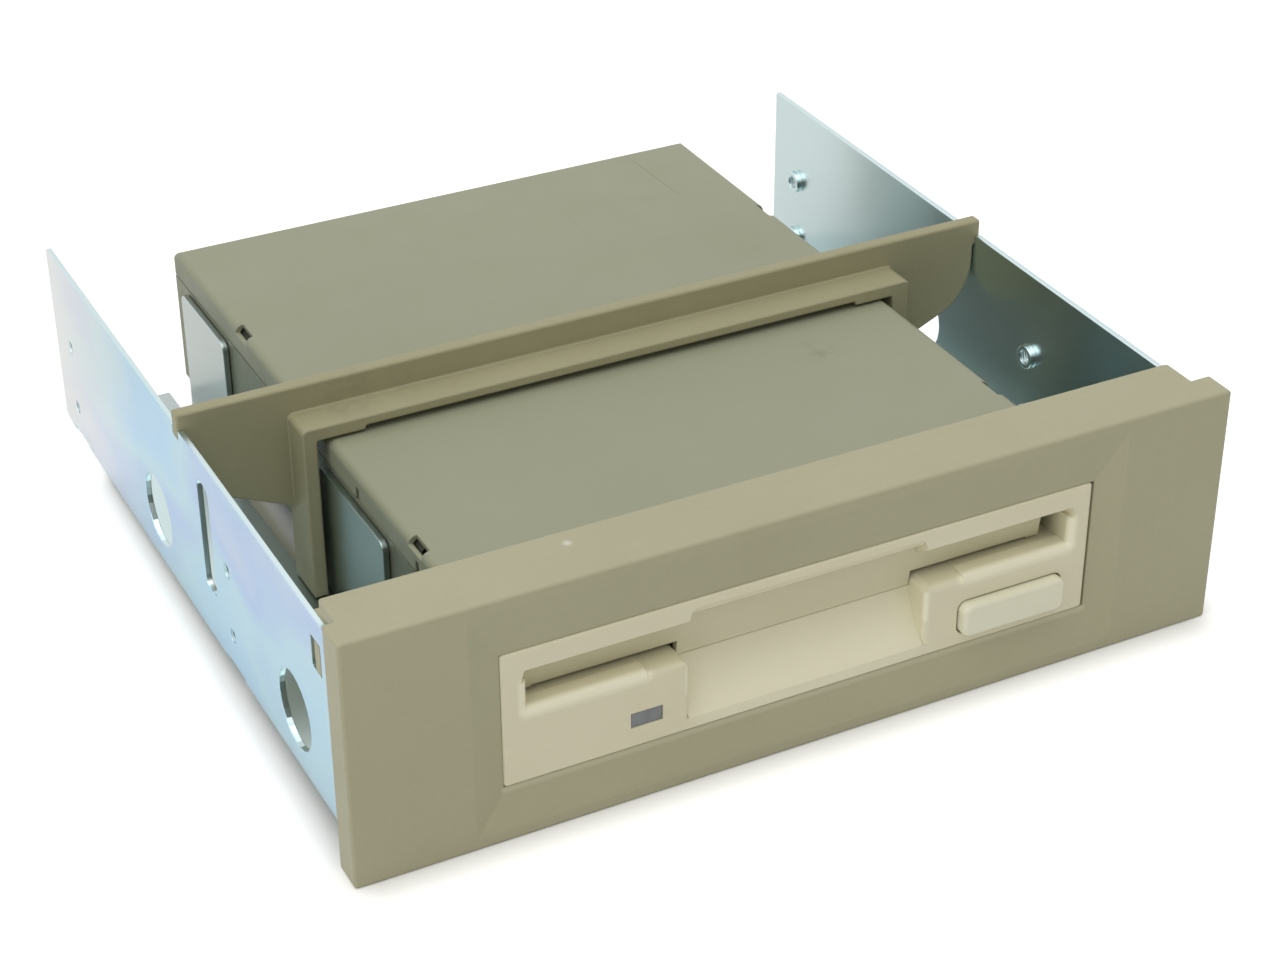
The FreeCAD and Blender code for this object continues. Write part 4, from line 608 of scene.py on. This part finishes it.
# a CAD solid with its seams merged, its edges broken and its round faces shaded smooth
def finished(name, spec):
    mesh = frame["nodes"][spec.get("node", spelled(name))].data.copy()
    mesh.materials.clear()
    shell = bmesh.new()
    shell.from_mesh(mesh)
    bmesh.ops.remove_doubles(shell, verts=shell.verts, dist=mergeGap)
    bmesh.ops.dissolve_limit(shell, angle_limit=bends["flat"], verts=shell.verts, edges=shell.edges)
    for low, high, shift in spec.get("nudges", []):
        for vert in shell.verts:
            if boxed(vert, low, high):
                vert.co += Vector(shift) * mm
    for low, high, width in spec.get("rims", []):
        rim = [edge for edge in shell.edges if edge.calc_face_angle(0) > bends["rimFrom"]
               and all(boxed(vert, low, high) for vert in edge.verts)]
        bmesh.ops.bevel(shell, geom=rim, offset=width * mm, offset_type="OFFSET", segments=3, profile=0.5,
                        affect="EDGES", clamp_overlap=True)
    for face in shell.faces:
        face.smooth = True
    for edge in shell.edges:
        bend = edge.calc_face_angle(0)
        edge.smooth = not (bend > bends["fold"] or bends["creaseFrom"] < bend < bends["creaseTo"])
    shell.to_mesh(mesh)
    shell.free()
    mesh.materials.append(finishes[spec["finish"]])
    piece = newPiece(name, mesh)
    bevel = piece.modifiers.new("brokenEdges", "BEVEL")
    bevel.limit_method = "ANGLE"
    bevel.angle_limit = bends["bevelFrom"]
    bevel.width = spec["edge"] * mm
    bevel.segments = 2
    bevel.miter_outer = "MITER_ARC"
    even = piece.modifiers.new("evenShading", "WEIGHTED_NORMAL")
    even.keep_sharp = True
    settle(piece)
    handOver(piece, spec)


# small corrections after the photo, as (low corner, high corner, shift), for both sides
def mirrored(nudges):
    other = [((-high[0], *low[1:]), (-low[0], *high[1:]), (-shift[0], *shift[1:]))
             for low, high, shift in nudges]
    return nudges + other


catchShift = (0, 2.2, 0)
catchNudge = mirrored([((-75, 7, 27), (-69, 14, 38), catchShift)])  # the panel's catches
windowNudge = mirrored([((-73.5, 7, 29), (-71.5, 12, 36), catchShift)])  # and their windows in the rails
topNudge = mirrored([((-73.5, y - 2, 39.5), (-71.5, y + 2, 40.5), (0, 0, -drop))  # the rails' tops lie lower
                     for y, drop in ((5.6, 1.2), (69.8, 0.9), (138, 0.6))])
slotNudge = [((-73.5, 57, 15), (-71.5, 58.6, 37), (0, -0.95, 0)),  # the left rail's slot is wider
             ((-73.5, 58.8, 15), (-71.5, 60.4, 37), (0, 0.95, 0))]
ledgeNudge = mirrored([((-24.7, 0, 19), (-24.5, 12, 23), (-2.4, 0, 0)),  # step in the slot's ledge
                       ((-47.1, 0.9, 28.1), (-46.9, 1.1, 28.3), (0.6, 0, 0)),  # slanted ends of the slot
                       ((-47.1, 4.2, 26.1), (-46.9, 4.4, 26.3), (0.95, 0, 0)),
                       ((-50.1, 0.9, 8.5), (-49.4, 1.5, 32), (-0.09, 0, 0))])  # sides close up to the panel
ledgeNudge.append(((-50.3, 0.9, 30.9), (50.3, 1.5, 31.7), (0, 0, 0.09)))  # and so does the top
# the rails' collars were drawn inwards, so each hole has a rounded mouth
collarRims = [((side * railFace - 0.05, y - 1.6, z - 1.6), (side * railFace + 0.05, y + 1.6, z + 1.6), 0.42)
              for side, y, z in collarHoles]
solids = {
    "frontPanel": {"finish": "panelPlastic", "edge": 0.09, "nudges": catchNudge},
    "bridgeFrame": {"finish": "bridgePlastic", "edge": 0.30},
    "leftBracket": {"finish": "zincSteel", "edge": 0.12, "nudges": windowNudge + topNudge + slotNudge,
                    "rims": collarRims},
    "rightBracket": {"finish": "zincSteel", "edge": 0.12, "nudges": windowNudge + topNudge,
                     "rims": collarRims},
    "driveChassis": {"finish": "chassisMetal", "edge": 0.12},
    "topCover": {"finish": "coverPaint", "edge": 0.10},
    "driveBezel": {"finish": "bezelPlastic", "edge": 0.12, "nudges": ledgeNudge},
    "dustFlap": {"finish": "flapPlastic", "edge": 0.10},
    "ejectButton": {"finish": "buttonPlastic", "edge": 0.10},
    "ejectSlider": {"finish": "platedSteel", "edge": 0.08},
    "diskHolder": {"finish": "platedSteel", "edge": 0.08},
    "shutterLever": {"finish": "platedSteel", "edge": 0.08},
    "statorCore": {"finish": "coreSteel", "edge": 0.08},
    "statorCoils": {"finish": "copperWire", "edge": 0.25},
    "motorBoard": {"finish": "motorBoardMask", "slot": "motor_board", "edge": 0.06},
    "mainBoard": {"finish": "mainBoardMask", "slot": "main_board", "edge": 0.06},
    "boardChips": {"finish": "chipEpoxy", "slot": "chip", "edge": 0.18},
    "headCarriage": {"finish": "carriagePlastic", "edge": 0.15},
    "lowerHead": {"finish": "headCeramic", "edge": 0.08},
    "upperArm": {"node": "upper_head_arm", "finish": "carriagePlastic", "edge": 0.12},
    "upperHead": {"finish": "headCeramic", "edge": 0.08},
    "screwBearing": {"finish": "bronze", "edge": 0.12},
    "stepperBracket": {"finish": "platedSteel", "edge": 0.10},
    "dataConnector": {"finish": "connectorPlastic", "edge": 0.15},
    "powerConnector": {"finish": "powerPlastic", "edge": 0.12},
    "lampLens": {"finish": "lensSmoke", "slot": "lens", "edge": 0.12},
    "lampLed": {"node": "lamp", "finish": "lampBody", "edge": 0.12},
    "mediaSwitch": {"finish": "switchPlastic", "edge": 0.15},
    "trackZeroSensor": {"finish": "switchPlastic", "edge": 0.15},
}
for name, spec in solids.items():
    finished(name, spec)
print("solids are finished:", len(solids))


# Geometry Nodes: a tree's sizes are its named inputs, and it ends in Realize Instances and Set Material
def startTree(name, sizes):
    tree = bpy.data.node_groups.new(name, "GeometryNodeTree")
    tree.interface.new_socket("Geometry", in_out="INPUT", socket_type="NodeSocketGeometry")
    for label in sizes:
        tree.interface.new_socket(label, in_out="INPUT", socket_type="NodeSocketFloat")
    tree.interface.new_socket("Geometry", in_out="OUTPUT", socket_type="NodeSocketGeometry")
    return tree, put(tree, "NodeGroupInput").outputs


def endTree(tree, geometry, finish):
    real = made(tree, "GeometryNodeRealizeInstances", {"Geometry": geometry})
    painted = made(tree, "GeometryNodeSetMaterial", {"Geometry": real, "Material": finishes[finish]})
    put(tree, "NodeGroupOutput", {"Geometry": painted})
    return tree


def along(tree, x=0.0, y=0.0, z=0.0):
    return made(tree, "ShaderNodeCombineXYZ", {"X": x, "Y": y, "Z": z})


def shifted(tree, geometry, **moves):
    return made(tree, "GeometryNodeTransform", {"Geometry": geometry, **moves})


def raised(tree, geometry, height):
    return shifted(tree, geometry, Translation=along(tree, z=height))


def gathered(tree, *shapes):
    node = put(tree, "GeometryNodeJoinGeometry")
    for shape in shapes:
        tree.links.new(shape, node.inputs[0])
    return node.outputs[0]


def circle(tree, radius, sides):
    return made(tree, "GeometryNodeCurvePrimitiveCircle", {"Resolution": sides, "Radius": radius})


def oblong(tree, width, height):
    return made(tree, "GeometryNodeCurvePrimitiveQuadrilateral", {"Width": width, "Height": height},
                mode="RECTANGLE")


def line(tree, start, end):
    return made(tree, "GeometryNodeCurvePrimitiveLine", {"Start": start, "End": end})


def filleted(tree, curve, radius):
    return made(tree, "GeometryNodeFilletCurve", {"Curve": curve, "Radius": radius, "Count": 2}, mode="POLY")


def upright(tree, curve):
    return made(tree, "GeometryNodeSetCurveNormal", {"Curve": curve}, mode="Z_UP")


def swept(tree, path, profile, **scale):
    return made(tree, "GeometryNodeCurveToMesh",
                {"Curve": path, "Profile Curve": profile, "Fill Caps": True, **scale})


def helix(tree, radius, turns, length, steps):
    spiral = made(tree, "GeometryNodeCurveSpiral",
                  {"Resolution": steps, "Rotations": turns, "Start Radius": radius, "End Radius": radius,
                   "Height": length})
    return upright(tree, spiral)


# a path through set corners, rounded where it bends
def bentPath(tree, corners, bend):
    row = made(tree, "GeometryNodeMeshLine", {"Count": len(corners)})
    choose = put(tree, "GeometryNodeIndexSwitch", data_type="VECTOR")
    while len(choose.index_switch_items) < len(corners):
        choose.index_switch_items.new()
    tree.links.new(made(tree, "GeometryNodeInputIndex"), choose.inputs[0])
    for index, corner in enumerate(corners):
        choose.inputs[index + 1].default_value = [value * mm for value in corner]
    moved = made(tree, "GeometryNodeSetPosition", {"Geometry": row, "Position": choose.outputs[0]})
    return filleted(tree, made(tree, "GeometryNodeMeshToCurve", {"Mesh": moved}), bend * mm)


# one copy on each seed point, its own Z (or X, with Z kept upright) along the point's aim
def planted(tree, points, shape, axis="Z", spin=False):
    aim = put(tree, "GeometryNodeInputNamedAttribute", {"Name": "aim"},
              data_type="FLOAT_VECTOR").outputs["Attribute"]
    turn = made(tree, "FunctionNodeAlignRotationToVector", {"Vector": aim}, axis=axis,
                pivot_axis="AUTO" if axis == "Z" else "Z")
    copies = made(tree, "GeometryNodeInstanceOnPoints",
                  {"Points": points, "Instance": shape, "Rotation": turn})
    if spin:
        chance = put(tree, "FunctionNodeRandomValue", {2: 0.0, 3: math.pi / 2, "Seed": 7},
                     data_type="FLOAT").outputs[1]
        about = made(tree, "FunctionNodeEulerToRotation", {0: along(tree, z=chance)})
        copies = made(tree, "GeometryNodeRotateInstances", {"Instances": copies, "Rotation": about})
    return copies


# a tree grows on points, each with the direction that its copy faces, and leaves a plain mesh
def grown(name, tree, spec, places, aims, crease=35):
    mesh = bpy.data.meshes.new(name)
    mesh.from_pydata([at(*place) for place in places], [], [])
    aim = mesh.attributes.new("aim", "FLOAT_VECTOR", "POINT")
    for index, direction in enumerate(aims):
        aim.data[index].vector = direction
    piece = newPiece(name, mesh)
    growth = piece.modifiers.new("growth", "NODES")
    growth.node_group = tree
    for socket in tree.interface.items_tree:
        if socket.in_out == "INPUT" and socket.name in spec["sizes"]:
            size = spec["sizes"][socket.name]
            growth[socket.identifier] = size if socket.name == "Turns" else size * mm
    settle(piece)
    extra = piece.data.attributes.get("aim")
    if extra:
        piece.data.attributes.remove(extra)
    piece.data.shade_smooth()
    piece.data.set_sharp_from_angle(angle=math.radians(crease))
    handOver(piece, spec)
    return piece


# pan-head screws with a cross recess and a rolled thread
largeScrew = {"Head radius": 2.7, "Head height": 1.9, "Shank radius": 1.5, "Shank length": 4.4,
              "Recess reach": 1.5, "Recess width": 0.55, "Recess depth": 0.9, "Thread pitch": 0.5}
smallScrew = {"Head radius": 2.0, "Head height": 0.8, "Shank radius": 1.0, "Shank length": 3.0,
              "Recess reach": 1.1, "Recess width": 0.42, "Recess depth": 0.5, "Thread pitch": 0.4}
screws = {  # each head as its place and the way it faces
    "earScrews": {"sizes": largeScrew,
                  "heads": [((side * 52.0, y, 13.9), (side, 0, 0))
                            for side in bothSides for y in (42.3, 112.8)]},
    "motorBoardScrews": {"sizes": smallScrew,
                         "heads": [((x, y, boardUnder), (0, 0, -1)) for x in (-31, 31) for y in (33, 79)]},
    "mainBoardScrews": {"sizes": smallScrew,
                        "heads": [((x, y, boardUnder), (0, 0, -1)) for x in (-42, 42) for y in (95, 123)]},
    "stepperScrews": {"sizes": smallScrew,
                      "heads": [((x, 123.5, 16.7), (0, 0, 1)) for x in (23.5, 28.5)]},
}
domeShape = {"foot": (0, 0.96), "rim": (1, 0.55), "between": ((0.08, 1.0), (0.45, 0.99), (0.75, 0.88))}


def buildScrewTree():
    tree, size = startTree("crossScrew", largeScrew)
    top = along(tree, z=size["Head height"])
    stem = made(tree, "GeometryNodeResampleCurve", {"Curve": line(tree, (0, 0, 0), top), "Count": 11})
    rise = put(tree, "GeometryNodeSplineParameter").outputs["Factor"]
    dome = put(tree, "ShaderNodeFloatCurve", {"Value": rise})
    points = dome.mapping.curves[0].points
    points[0].location, points[1].location = domeShape["foot"], domeShape["rim"]
    for spot in domeShape["between"]:
        points.new(*spot)
    dome.mapping.update()
    head = swept(tree, stem, circle(tree, size["Head radius"], 28), Scale=dome.outputs[0])
    wide = size["Recess width"]
    long = times(tree, size["Recess reach"], 2.0)
    deep = times(tree, size["Recess depth"], 2.0)
    cross = put(tree, "GeometryNodeMeshBoolean", {"Mesh 1": head}, operation="DIFFERENCE")
    for sizeX, sizeY in ((long, wide), (wide, long)):
        bar = made(tree, "GeometryNodeMeshCube", {"Size": along(tree, sizeX, sizeY, deep)})
        tree.links.new(shifted(tree, bar, Translation=top), cross.inputs["Mesh 2"])
    length = size["Shank length"]
    back = times(tree, length, -1.0)
    rod = made(tree, "GeometryNodeMeshCylinder", {"Vertices": 16, "Depth": length,
                                                  "Radius": times(tree, size["Shank radius"], 0.86)})
    rod = raised(tree, rod, times(tree, back, 0.5))
    turns = maths(tree, "DIVIDE", length, size["Thread pitch"])
    winding = helix(tree, times(tree, size["Shank radius"], 0.88), turns, length, 14)
    thread = swept(tree, winding, circle(tree, times(tree, size["Thread pitch"], 0.36), 3))
    whole = gathered(tree, cross.outputs[0], rod, raised(tree, thread, back))
    return endTree(tree, planted(tree, size["Geometry"], whole, spin=True), "screwSteel")


screwTree = buildScrewTree()
for name, spec in screws.items():
    grown(name, screwTree, {"finish": "screwSteel", **spec}, *zip(*spec["heads"]))
print("screws are in:", sum(len(spec["heads"]) for spec in screws.values()))


# rolled threads in the rails' collars
collarThreads = {"rides": "base", "finish": "zincSteel", "outset": 72.98,
                 "sizes": {"Radius": 1.25, "Ridge": 0.16, "Turns": 4.2, "Length": 2.0}}


def buildThreadTree(spec):
    tree, size = startTree("collarThread", spec["sizes"])
    path = helix(tree, size["Radius"], size["Turns"], size["Length"], 20)
    ridge = swept(tree, path, circle(tree, size["Ridge"], 4))
    return endTree(tree, planted(tree, size["Geometry"], ridge), spec["finish"])


grown("collarThreads", buildThreadTree(collarThreads), collarThreads,
      [(side * collarThreads["outset"], y, z) for side, y, z in collarHoles],
      [(-side, 0, 0) for side, y, z in collarHoles])
print("collars are threaded:", len(collarHoles))


# wound springs: wire on a helix, with a straight leg at each end where it pushes
coils = {
    "sliderSpring": {"foot": (-40, 17.25, 31.2), "aim": (0, 1, 0),
                     "sizes": {"Radius": 0.65, "Wire": 0.2, "Turns": 22.0, "Length": 28.7, "Leg": 0.0001},
                     "press": "eject_slide"},
    "flapSpring": {"foot": (43.6, 5.6, 27.0), "aim": (1, 0, 0),
                   "sizes": {"Radius": 1.06, "Wire": 0.18, "Turns": 4.5, "Length": 2.1, "Leg": 1.2}},
    "leverSpring": {"foot": (38, 64, 27.05), "aim": (0, 0, 1),
                    "sizes": {"Radius": 1.95, "Wire": 0.15, "Turns": 1.5, "Length": 0.6, "Leg": 3.0}},
    "armSpring": {"foot": (-9.1, 121.5, 23.7), "aim": (1, 0, 0),
                  "sizes": {"Radius": 1.5, "Wire": 0.2, "Turns": 2.5, "Length": 1.1, "Leg": 2.4}},
}


def buildCoilTree(sizes):
    tree, size = startTree("coil", sizes)
    wire = circle(tree, size["Wire"], 8)
    span = maths(tree, "SUBTRACT", size["Length"], times(tree, size["Wire"], 2.0))
    shapes = [swept(tree, helix(tree, size["Radius"], size["Turns"], span, 20), wire)]
    for height, way in ((0.0, -1.0), (span, 1.0)):
        start = along(tree, size["Radius"], 0.0, height)
        end = along(tree, size["Radius"], times(tree, size["Leg"], way), height)
        shapes.append(swept(tree, line(tree, start, end), wire))
    whole = raised(tree, gathered(tree, *shapes), size["Wire"])
    return endTree(tree, planted(tree, size["Geometry"], whole), "springSteel")


coilTree = buildCoilTree(coils["sliderSpring"]["sizes"])
for name, spec in coils.items():
    piece = grown(name, coilTree, {"finish": "springSteel", **spec}, [spec["foot"]], [spec["aim"]])
    if "press" in spec:  # the slider presses it from 28.7 to 23.7 mm; here it only gets a mesh of its own
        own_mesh(piece)
print("springs are wound:", len(coils))


# lead screw: a core with one broad ridge that winds round it
leadScrew = {"finish": "brightSteel", "foot": (12.5, 81, 15.2), "aim": (0, 1, 0),
             "sizes": {"Core radius": 1.28, "Ridge width": 2.1, "Ridge height": 0.64, "Ridge round": 0.12,
                       "Lead": 3.74, "Length": 34.0, "Start": 3.6, "Shaft radius": 1.6,
                       "Shaft length": 46.5}}


def buildLeadTree(spec):
    tree, size = startTree("leadScrew", spec["sizes"])
    shaftEnd = along(tree, z=size["Shaft length"])
    shapes = [swept(tree, line(tree, (0, 0, 0), shaftEnd), circle(tree, size["Core radius"], 28))]
    bar = oblong(tree, size["Ridge height"], size["Ridge width"])
    bar = filleted(tree, bar, size["Ridge round"])
    turns = maths(tree, "DIVIDE", size["Length"], size["Lead"])
    ridge = swept(tree, helix(tree, size["Core radius"], turns, size["Length"], 32), bar)
    shapes.append(raised(tree, ridge, size["Start"]))
    ridgeEnd = maths(tree, "ADD", size["Start"], size["Length"])
    for start, end in (((0, 0, 0), along(tree, z=size["Start"])), (along(tree, z=ridgeEnd), shaftEnd)):
        shapes.append(swept(tree, line(tree, start, end), circle(tree, size["Shaft radius"], 28)))
    return endTree(tree, planted(tree, size["Geometry"], gathered(tree, *shapes)), spec["finish"])


grown("leadScrew", buildLeadTree(leadScrew), leadScrew, [leadScrew["foot"]], [leadScrew["aim"]])
print("lead screw is cut")


# square contact pins with pointed ends
pinRows = {
    "dataPins": {"sizes": {"Side": 0.64, "Length": 6.2, "Point": 0.5},
                 "places": [(x, 130, 16.4 + rise) for x in dataColumns for rise in (-1.27, 1.27)]},
    "powerPins": {"sizes": {"Side": 0.8, "Length": 5.8, "Point": 0.6},
                  "places": [(x, 130.4, 15.3) for x in powerColumns]},
}


def buildPinTree(sizes):
    tree, size = startTree("contactPin", sizes)
    straight = maths(tree, "SUBTRACT", size["Length"], size["Point"])
    bar = made(tree, "GeometryNodeMeshCube", {"Size": along(tree, size["Side"], size["Side"], straight)})
    bar = raised(tree, bar, times(tree, straight, 0.5))
    wide = times(tree, size["Side"], math.sqrt(0.5))
    point = made(tree, "GeometryNodeMeshCone", {"Vertices": 4, "Radius Bottom": wide, "Depth": size["Point"],
                                                "Radius Top": times(tree, wide, 0.35)})
    point = shifted(tree, point, Translation=along(tree, z=straight), Rotation=(0, 0, math.pi / 4))
    return endTree(tree, planted(tree, size["Geometry"], gathered(tree, bar, point)), "pinPlate")


pinTree = buildPinTree(pinRows["dataPins"]["sizes"])
for name, spec in pinRows.items():
    aims = [(0, 1, 0)] * len(spec["places"])
    grown(name, pinTree, {"finish": "pinPlate", **spec}, spec["places"], aims)
print("pins are set:", sum(len(spec["places"]) for spec in pinRows.values()))


# gull-wing leads round each chip, from its side up to the board's underside
chipLeads = {
    "rides": "base", "finish": "solderTin", "slot": "pin_plate", "height": 10.0, "margin": 1,
    "sizes": {"Lead width": 0.38, "Lead thickness": 0.15},
    "path": [(-0.1, 0, 0), (0.35, 0, 0), (0.55, 0, 0.56), (1.1, 0, 0.56)], "bend": 0.12,
    # middle, width, depth, sides with leads and leads on a side
    "chips": [(-27, 106, 14, 14, 4, 15), (0, 99, 11, 7.2, 2, 9), (27, 102.6, 11, 7.2, 2, 9),
              (30.6, 122, 7.2, 5, 2, 5)],
}


def buildChipLeadTree(spec):
    tree, size = startTree("chipLead", spec["sizes"])
    bar = oblong(tree, size["Lead width"], size["Lead thickness"])
    path = upright(tree, bentPath(tree, spec["path"], spec["bend"]))
    return endTree(tree, planted(tree, size["Geometry"], swept(tree, path, bar), axis="X"), spec["finish"])


def leadSpots(spec):
    height, margin = spec["height"], spec["margin"]
    for x, y, wide, deep, sides, count in spec["chips"]:
        for index in range(count):
            share = (index + 0.5) / count - 0.5
            for way in bothSides:
                yield (x + share * (wide - margin), y + way * deep / 2, height), (0, way, 0)
                if sides == 4:
                    yield (x + way * wide / 2, y + share * (deep - margin), height), (way, 0, 0)


places, aims = zip(*leadSpots(chipLeads))
grown("chipLeads", buildChipLeadTree(chipLeads), chipLeads, places, aims)
print("chips have leads:", len(places))


# solder joints under the two connectors
solderDots = {"rides": "base", "finish": "solderTin", "slot": "pin_plate", "crease": 60,
              "sizes": {"Radius": 0.75, "Height": 0.55},
              "places": [(x, y, boardUnder) for x in dataColumns for y in (126.0, 128.54)]
              + [(x, 128.0, boardUnder) for x in powerColumns]}


def buildSolderTree(spec):
    tree, size = startTree("solderDot", spec["sizes"])
    ball = made(tree, "GeometryNodeMeshUVSphere", {"Segments": 14, "Rings": 7, "Radius": size["Radius"]})
    flat = along(tree, 1.0, 1.0, maths(tree, "DIVIDE", size["Height"], size["Radius"]))
    return endTree(tree, planted(tree, size["Geometry"], shifted(tree, ball, Scale=flat)), spec["finish"])


grown("solderDots", buildSolderTree(solderDots), solderDots, solderDots["places"],
      [(0, 0, -1)] * len(solderDots["places"]), solderDots["crease"])
print("joints are soldered:", len(solderDots["places"]))


# turned pieces: rings of a profile, as (distance from the foot, radius), upright unless an axis is given
def turned(name, spec):
    sides = spec.get("sides", 28)
    axis = Vector(spec.get("axis", (0, 0, 1)))
    across = axis.orthogonal().normalized()
    beside = axis.cross(across)
    turns = [2 * math.pi * index / sides for index in range(sides)]
    spokes = [across * math.cos(turn) + beside * math.sin(turn) for turn in turns]
    shell = bmesh.new()
    rings = []
    for step, radius in spec["profile"]:
        middle = at(*spec["foot"]) + axis * step * mm
        rings.append([shell.verts.new(middle + spoke * radius * mm) for spoke in spokes])
    pairs = list(zip(rings, rings[1:]))
    if spec.get("open"):  # the profile closes on itself round a bore
        pairs.append((rings[-1], rings[0]))
    else:
        shell.faces.new(rings[0])
        shell.faces.new(rings[-1])
    for low, high in pairs:
        for index in range(sides):
            after = (index + 1) % sides
            shell.faces.new((low[index], low[after], high[after], high[index]))
    bmesh.ops.recalc_face_normals(shell, faces=shell.faces)
    mesh = bpy.data.meshes.new(name)
    shell.to_mesh(mesh)
    shell.free()
    mesh.shade_smooth()
    mesh.set_sharp_from_angle(angle=math.radians(34))
    mesh.materials.append(finishes[spec["finish"]])
    handOver(newPiece(name, mesh), spec)


plungerProfile = [(0, 0.9), (1.9, 0.9), (2.25, 0.78), (2.44, 0.5), (2.5, 0.2)]
turnings = {
    "spindleShaft": {"finish": "brightSteel", "foot": (0, spindleY, 10.0), "sides": 40,
                     "profile": [(0, 1.7), (0.3, 2.0), (9.0, 2.0), (9.3, 1.75), (9.4, 1.4)]},
    "spindleHub": {"finish": "rotorSteel", "foot": (0, spindleY, 16.7), "sides": 72, "open": True,
                   "profile": [(0, 2.0), (0, 12.1), (0.12, 12.32), (0.3, 12.4), (1.7, 12.4), (1.9, 12.32),
                               (2.0, 12.1), (2.0, 4.35), (1.95, 4.22), (1.6, 4.2), (1.6, 2.0)]},
    "spindleRotor": {"finish": "rotorSteel", "foot": (0, spindleY, 12.7), "sides": 96, "open": True,
                     "profile": [(0.1, 22.0), (3.3, 22.0), (3.7, 21.9), (3.92, 21.68), (4.0, 21.35),
                                 (4.0, 2.0), (3.0, 2.0), (3.0, 20.8), (2.8, 21.0), (0.1, 21.0),
                                 (0, 21.1), (0, 21.9)]},
    "rotorMagnet": {"finish": "magnet", "foot": (0, spindleY, 12.9), "sides": 96, "open": True,
                    "profile": [(0.15, 21.0), (2.8, 21.0), (2.8, 19.15), (2.65, 19.0), (0.15, 19.0),
                                (0, 19.15), (0, 20.85)]},
    "spindleBearing": {"finish": "bronze", "foot": (0, spindleY, 10.2), "sides": 56, "open": True,
                       "profile": [(0, 2.25), (0, 4.3), (0.2, 4.5), (1.6, 4.5), (1.6, 7.85), (1.75, 8.0),
                                   (2.65, 8.0), (2.8, 7.85), (2.8, 4.5), (4.7, 4.5), (4.9, 4.3),
                                   (4.9, 2.25)]},
    "guideRod": {"finish": "brightSteel", "foot": (-12.5, 79.5, 15.2), "axis": (0, 1, 0), "sides": 40,
                 "profile": [(0, 1.2), (0.3, 1.5), (42.2, 1.5), (42.5, 1.2)]},
    "stepperCan": {"node": "stepper_motor", "finish": "motorCan", "foot": (12.5, 119.5, 15.2),
                   "axis": (0, 1, 0), "sides": 56,
                   "profile": [(0, 5.2), (0.2, 5.75), (0.6, 6.0), (3.9, 6.0), (4.05, 5.86), (4.45, 5.86),
                               (4.6, 6.0), (11.3, 6.0), (11.75, 5.75), (12.0, 5.2)]},
    "armPivotPin": {"finish": "brightSteel", "foot": (-9.1, 121.5, 23.7), "axis": (1, 0, 0),
                    "profile": [(0, 0.8), (0.2, 1.0), (13.3, 1.0), (13.5, 0.8)]},
    "leverPivot": {"finish": "platedSteel", "foot": (38, 64, 27), "sides": 36,
                   "profile": [(0, 1.4), (1.45, 1.4), (1.45, 2.45), (1.53, 2.6), (1.64, 2.56), (1.72, 2.3),
                               (1.75, 1.6)]},
    "drivePin": {"finish": "brightSteel", "foot": (9.5, spindleY, 18.7),
                 "profile": [(0, 1.0), (0.55, 1.0), (0.75, 0.9), (0.86, 0.65), (0.9, 0.3)]},
    "diskPlunger": {"finish": "plungerPlastic", "foot": (-36.5, 22, 17.3),
                    "profile": plungerProfile},
    "protectPlunger": {"finish": "plungerPlastic", "foot": (-31.5, 22, 17.3),
                       "profile": plungerProfile},
}
for name, spec in turnings.items():
    turned(name, spec)
print("turned pieces are done:", len(turnings))

sizes = {"cadLow": list(cadLow), "cadHigh": list(cadHigh)}
visualLow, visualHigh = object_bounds()
sizes["visualLow"], sizes["visualHigh"] = list(visualLow), list(visualHigh)
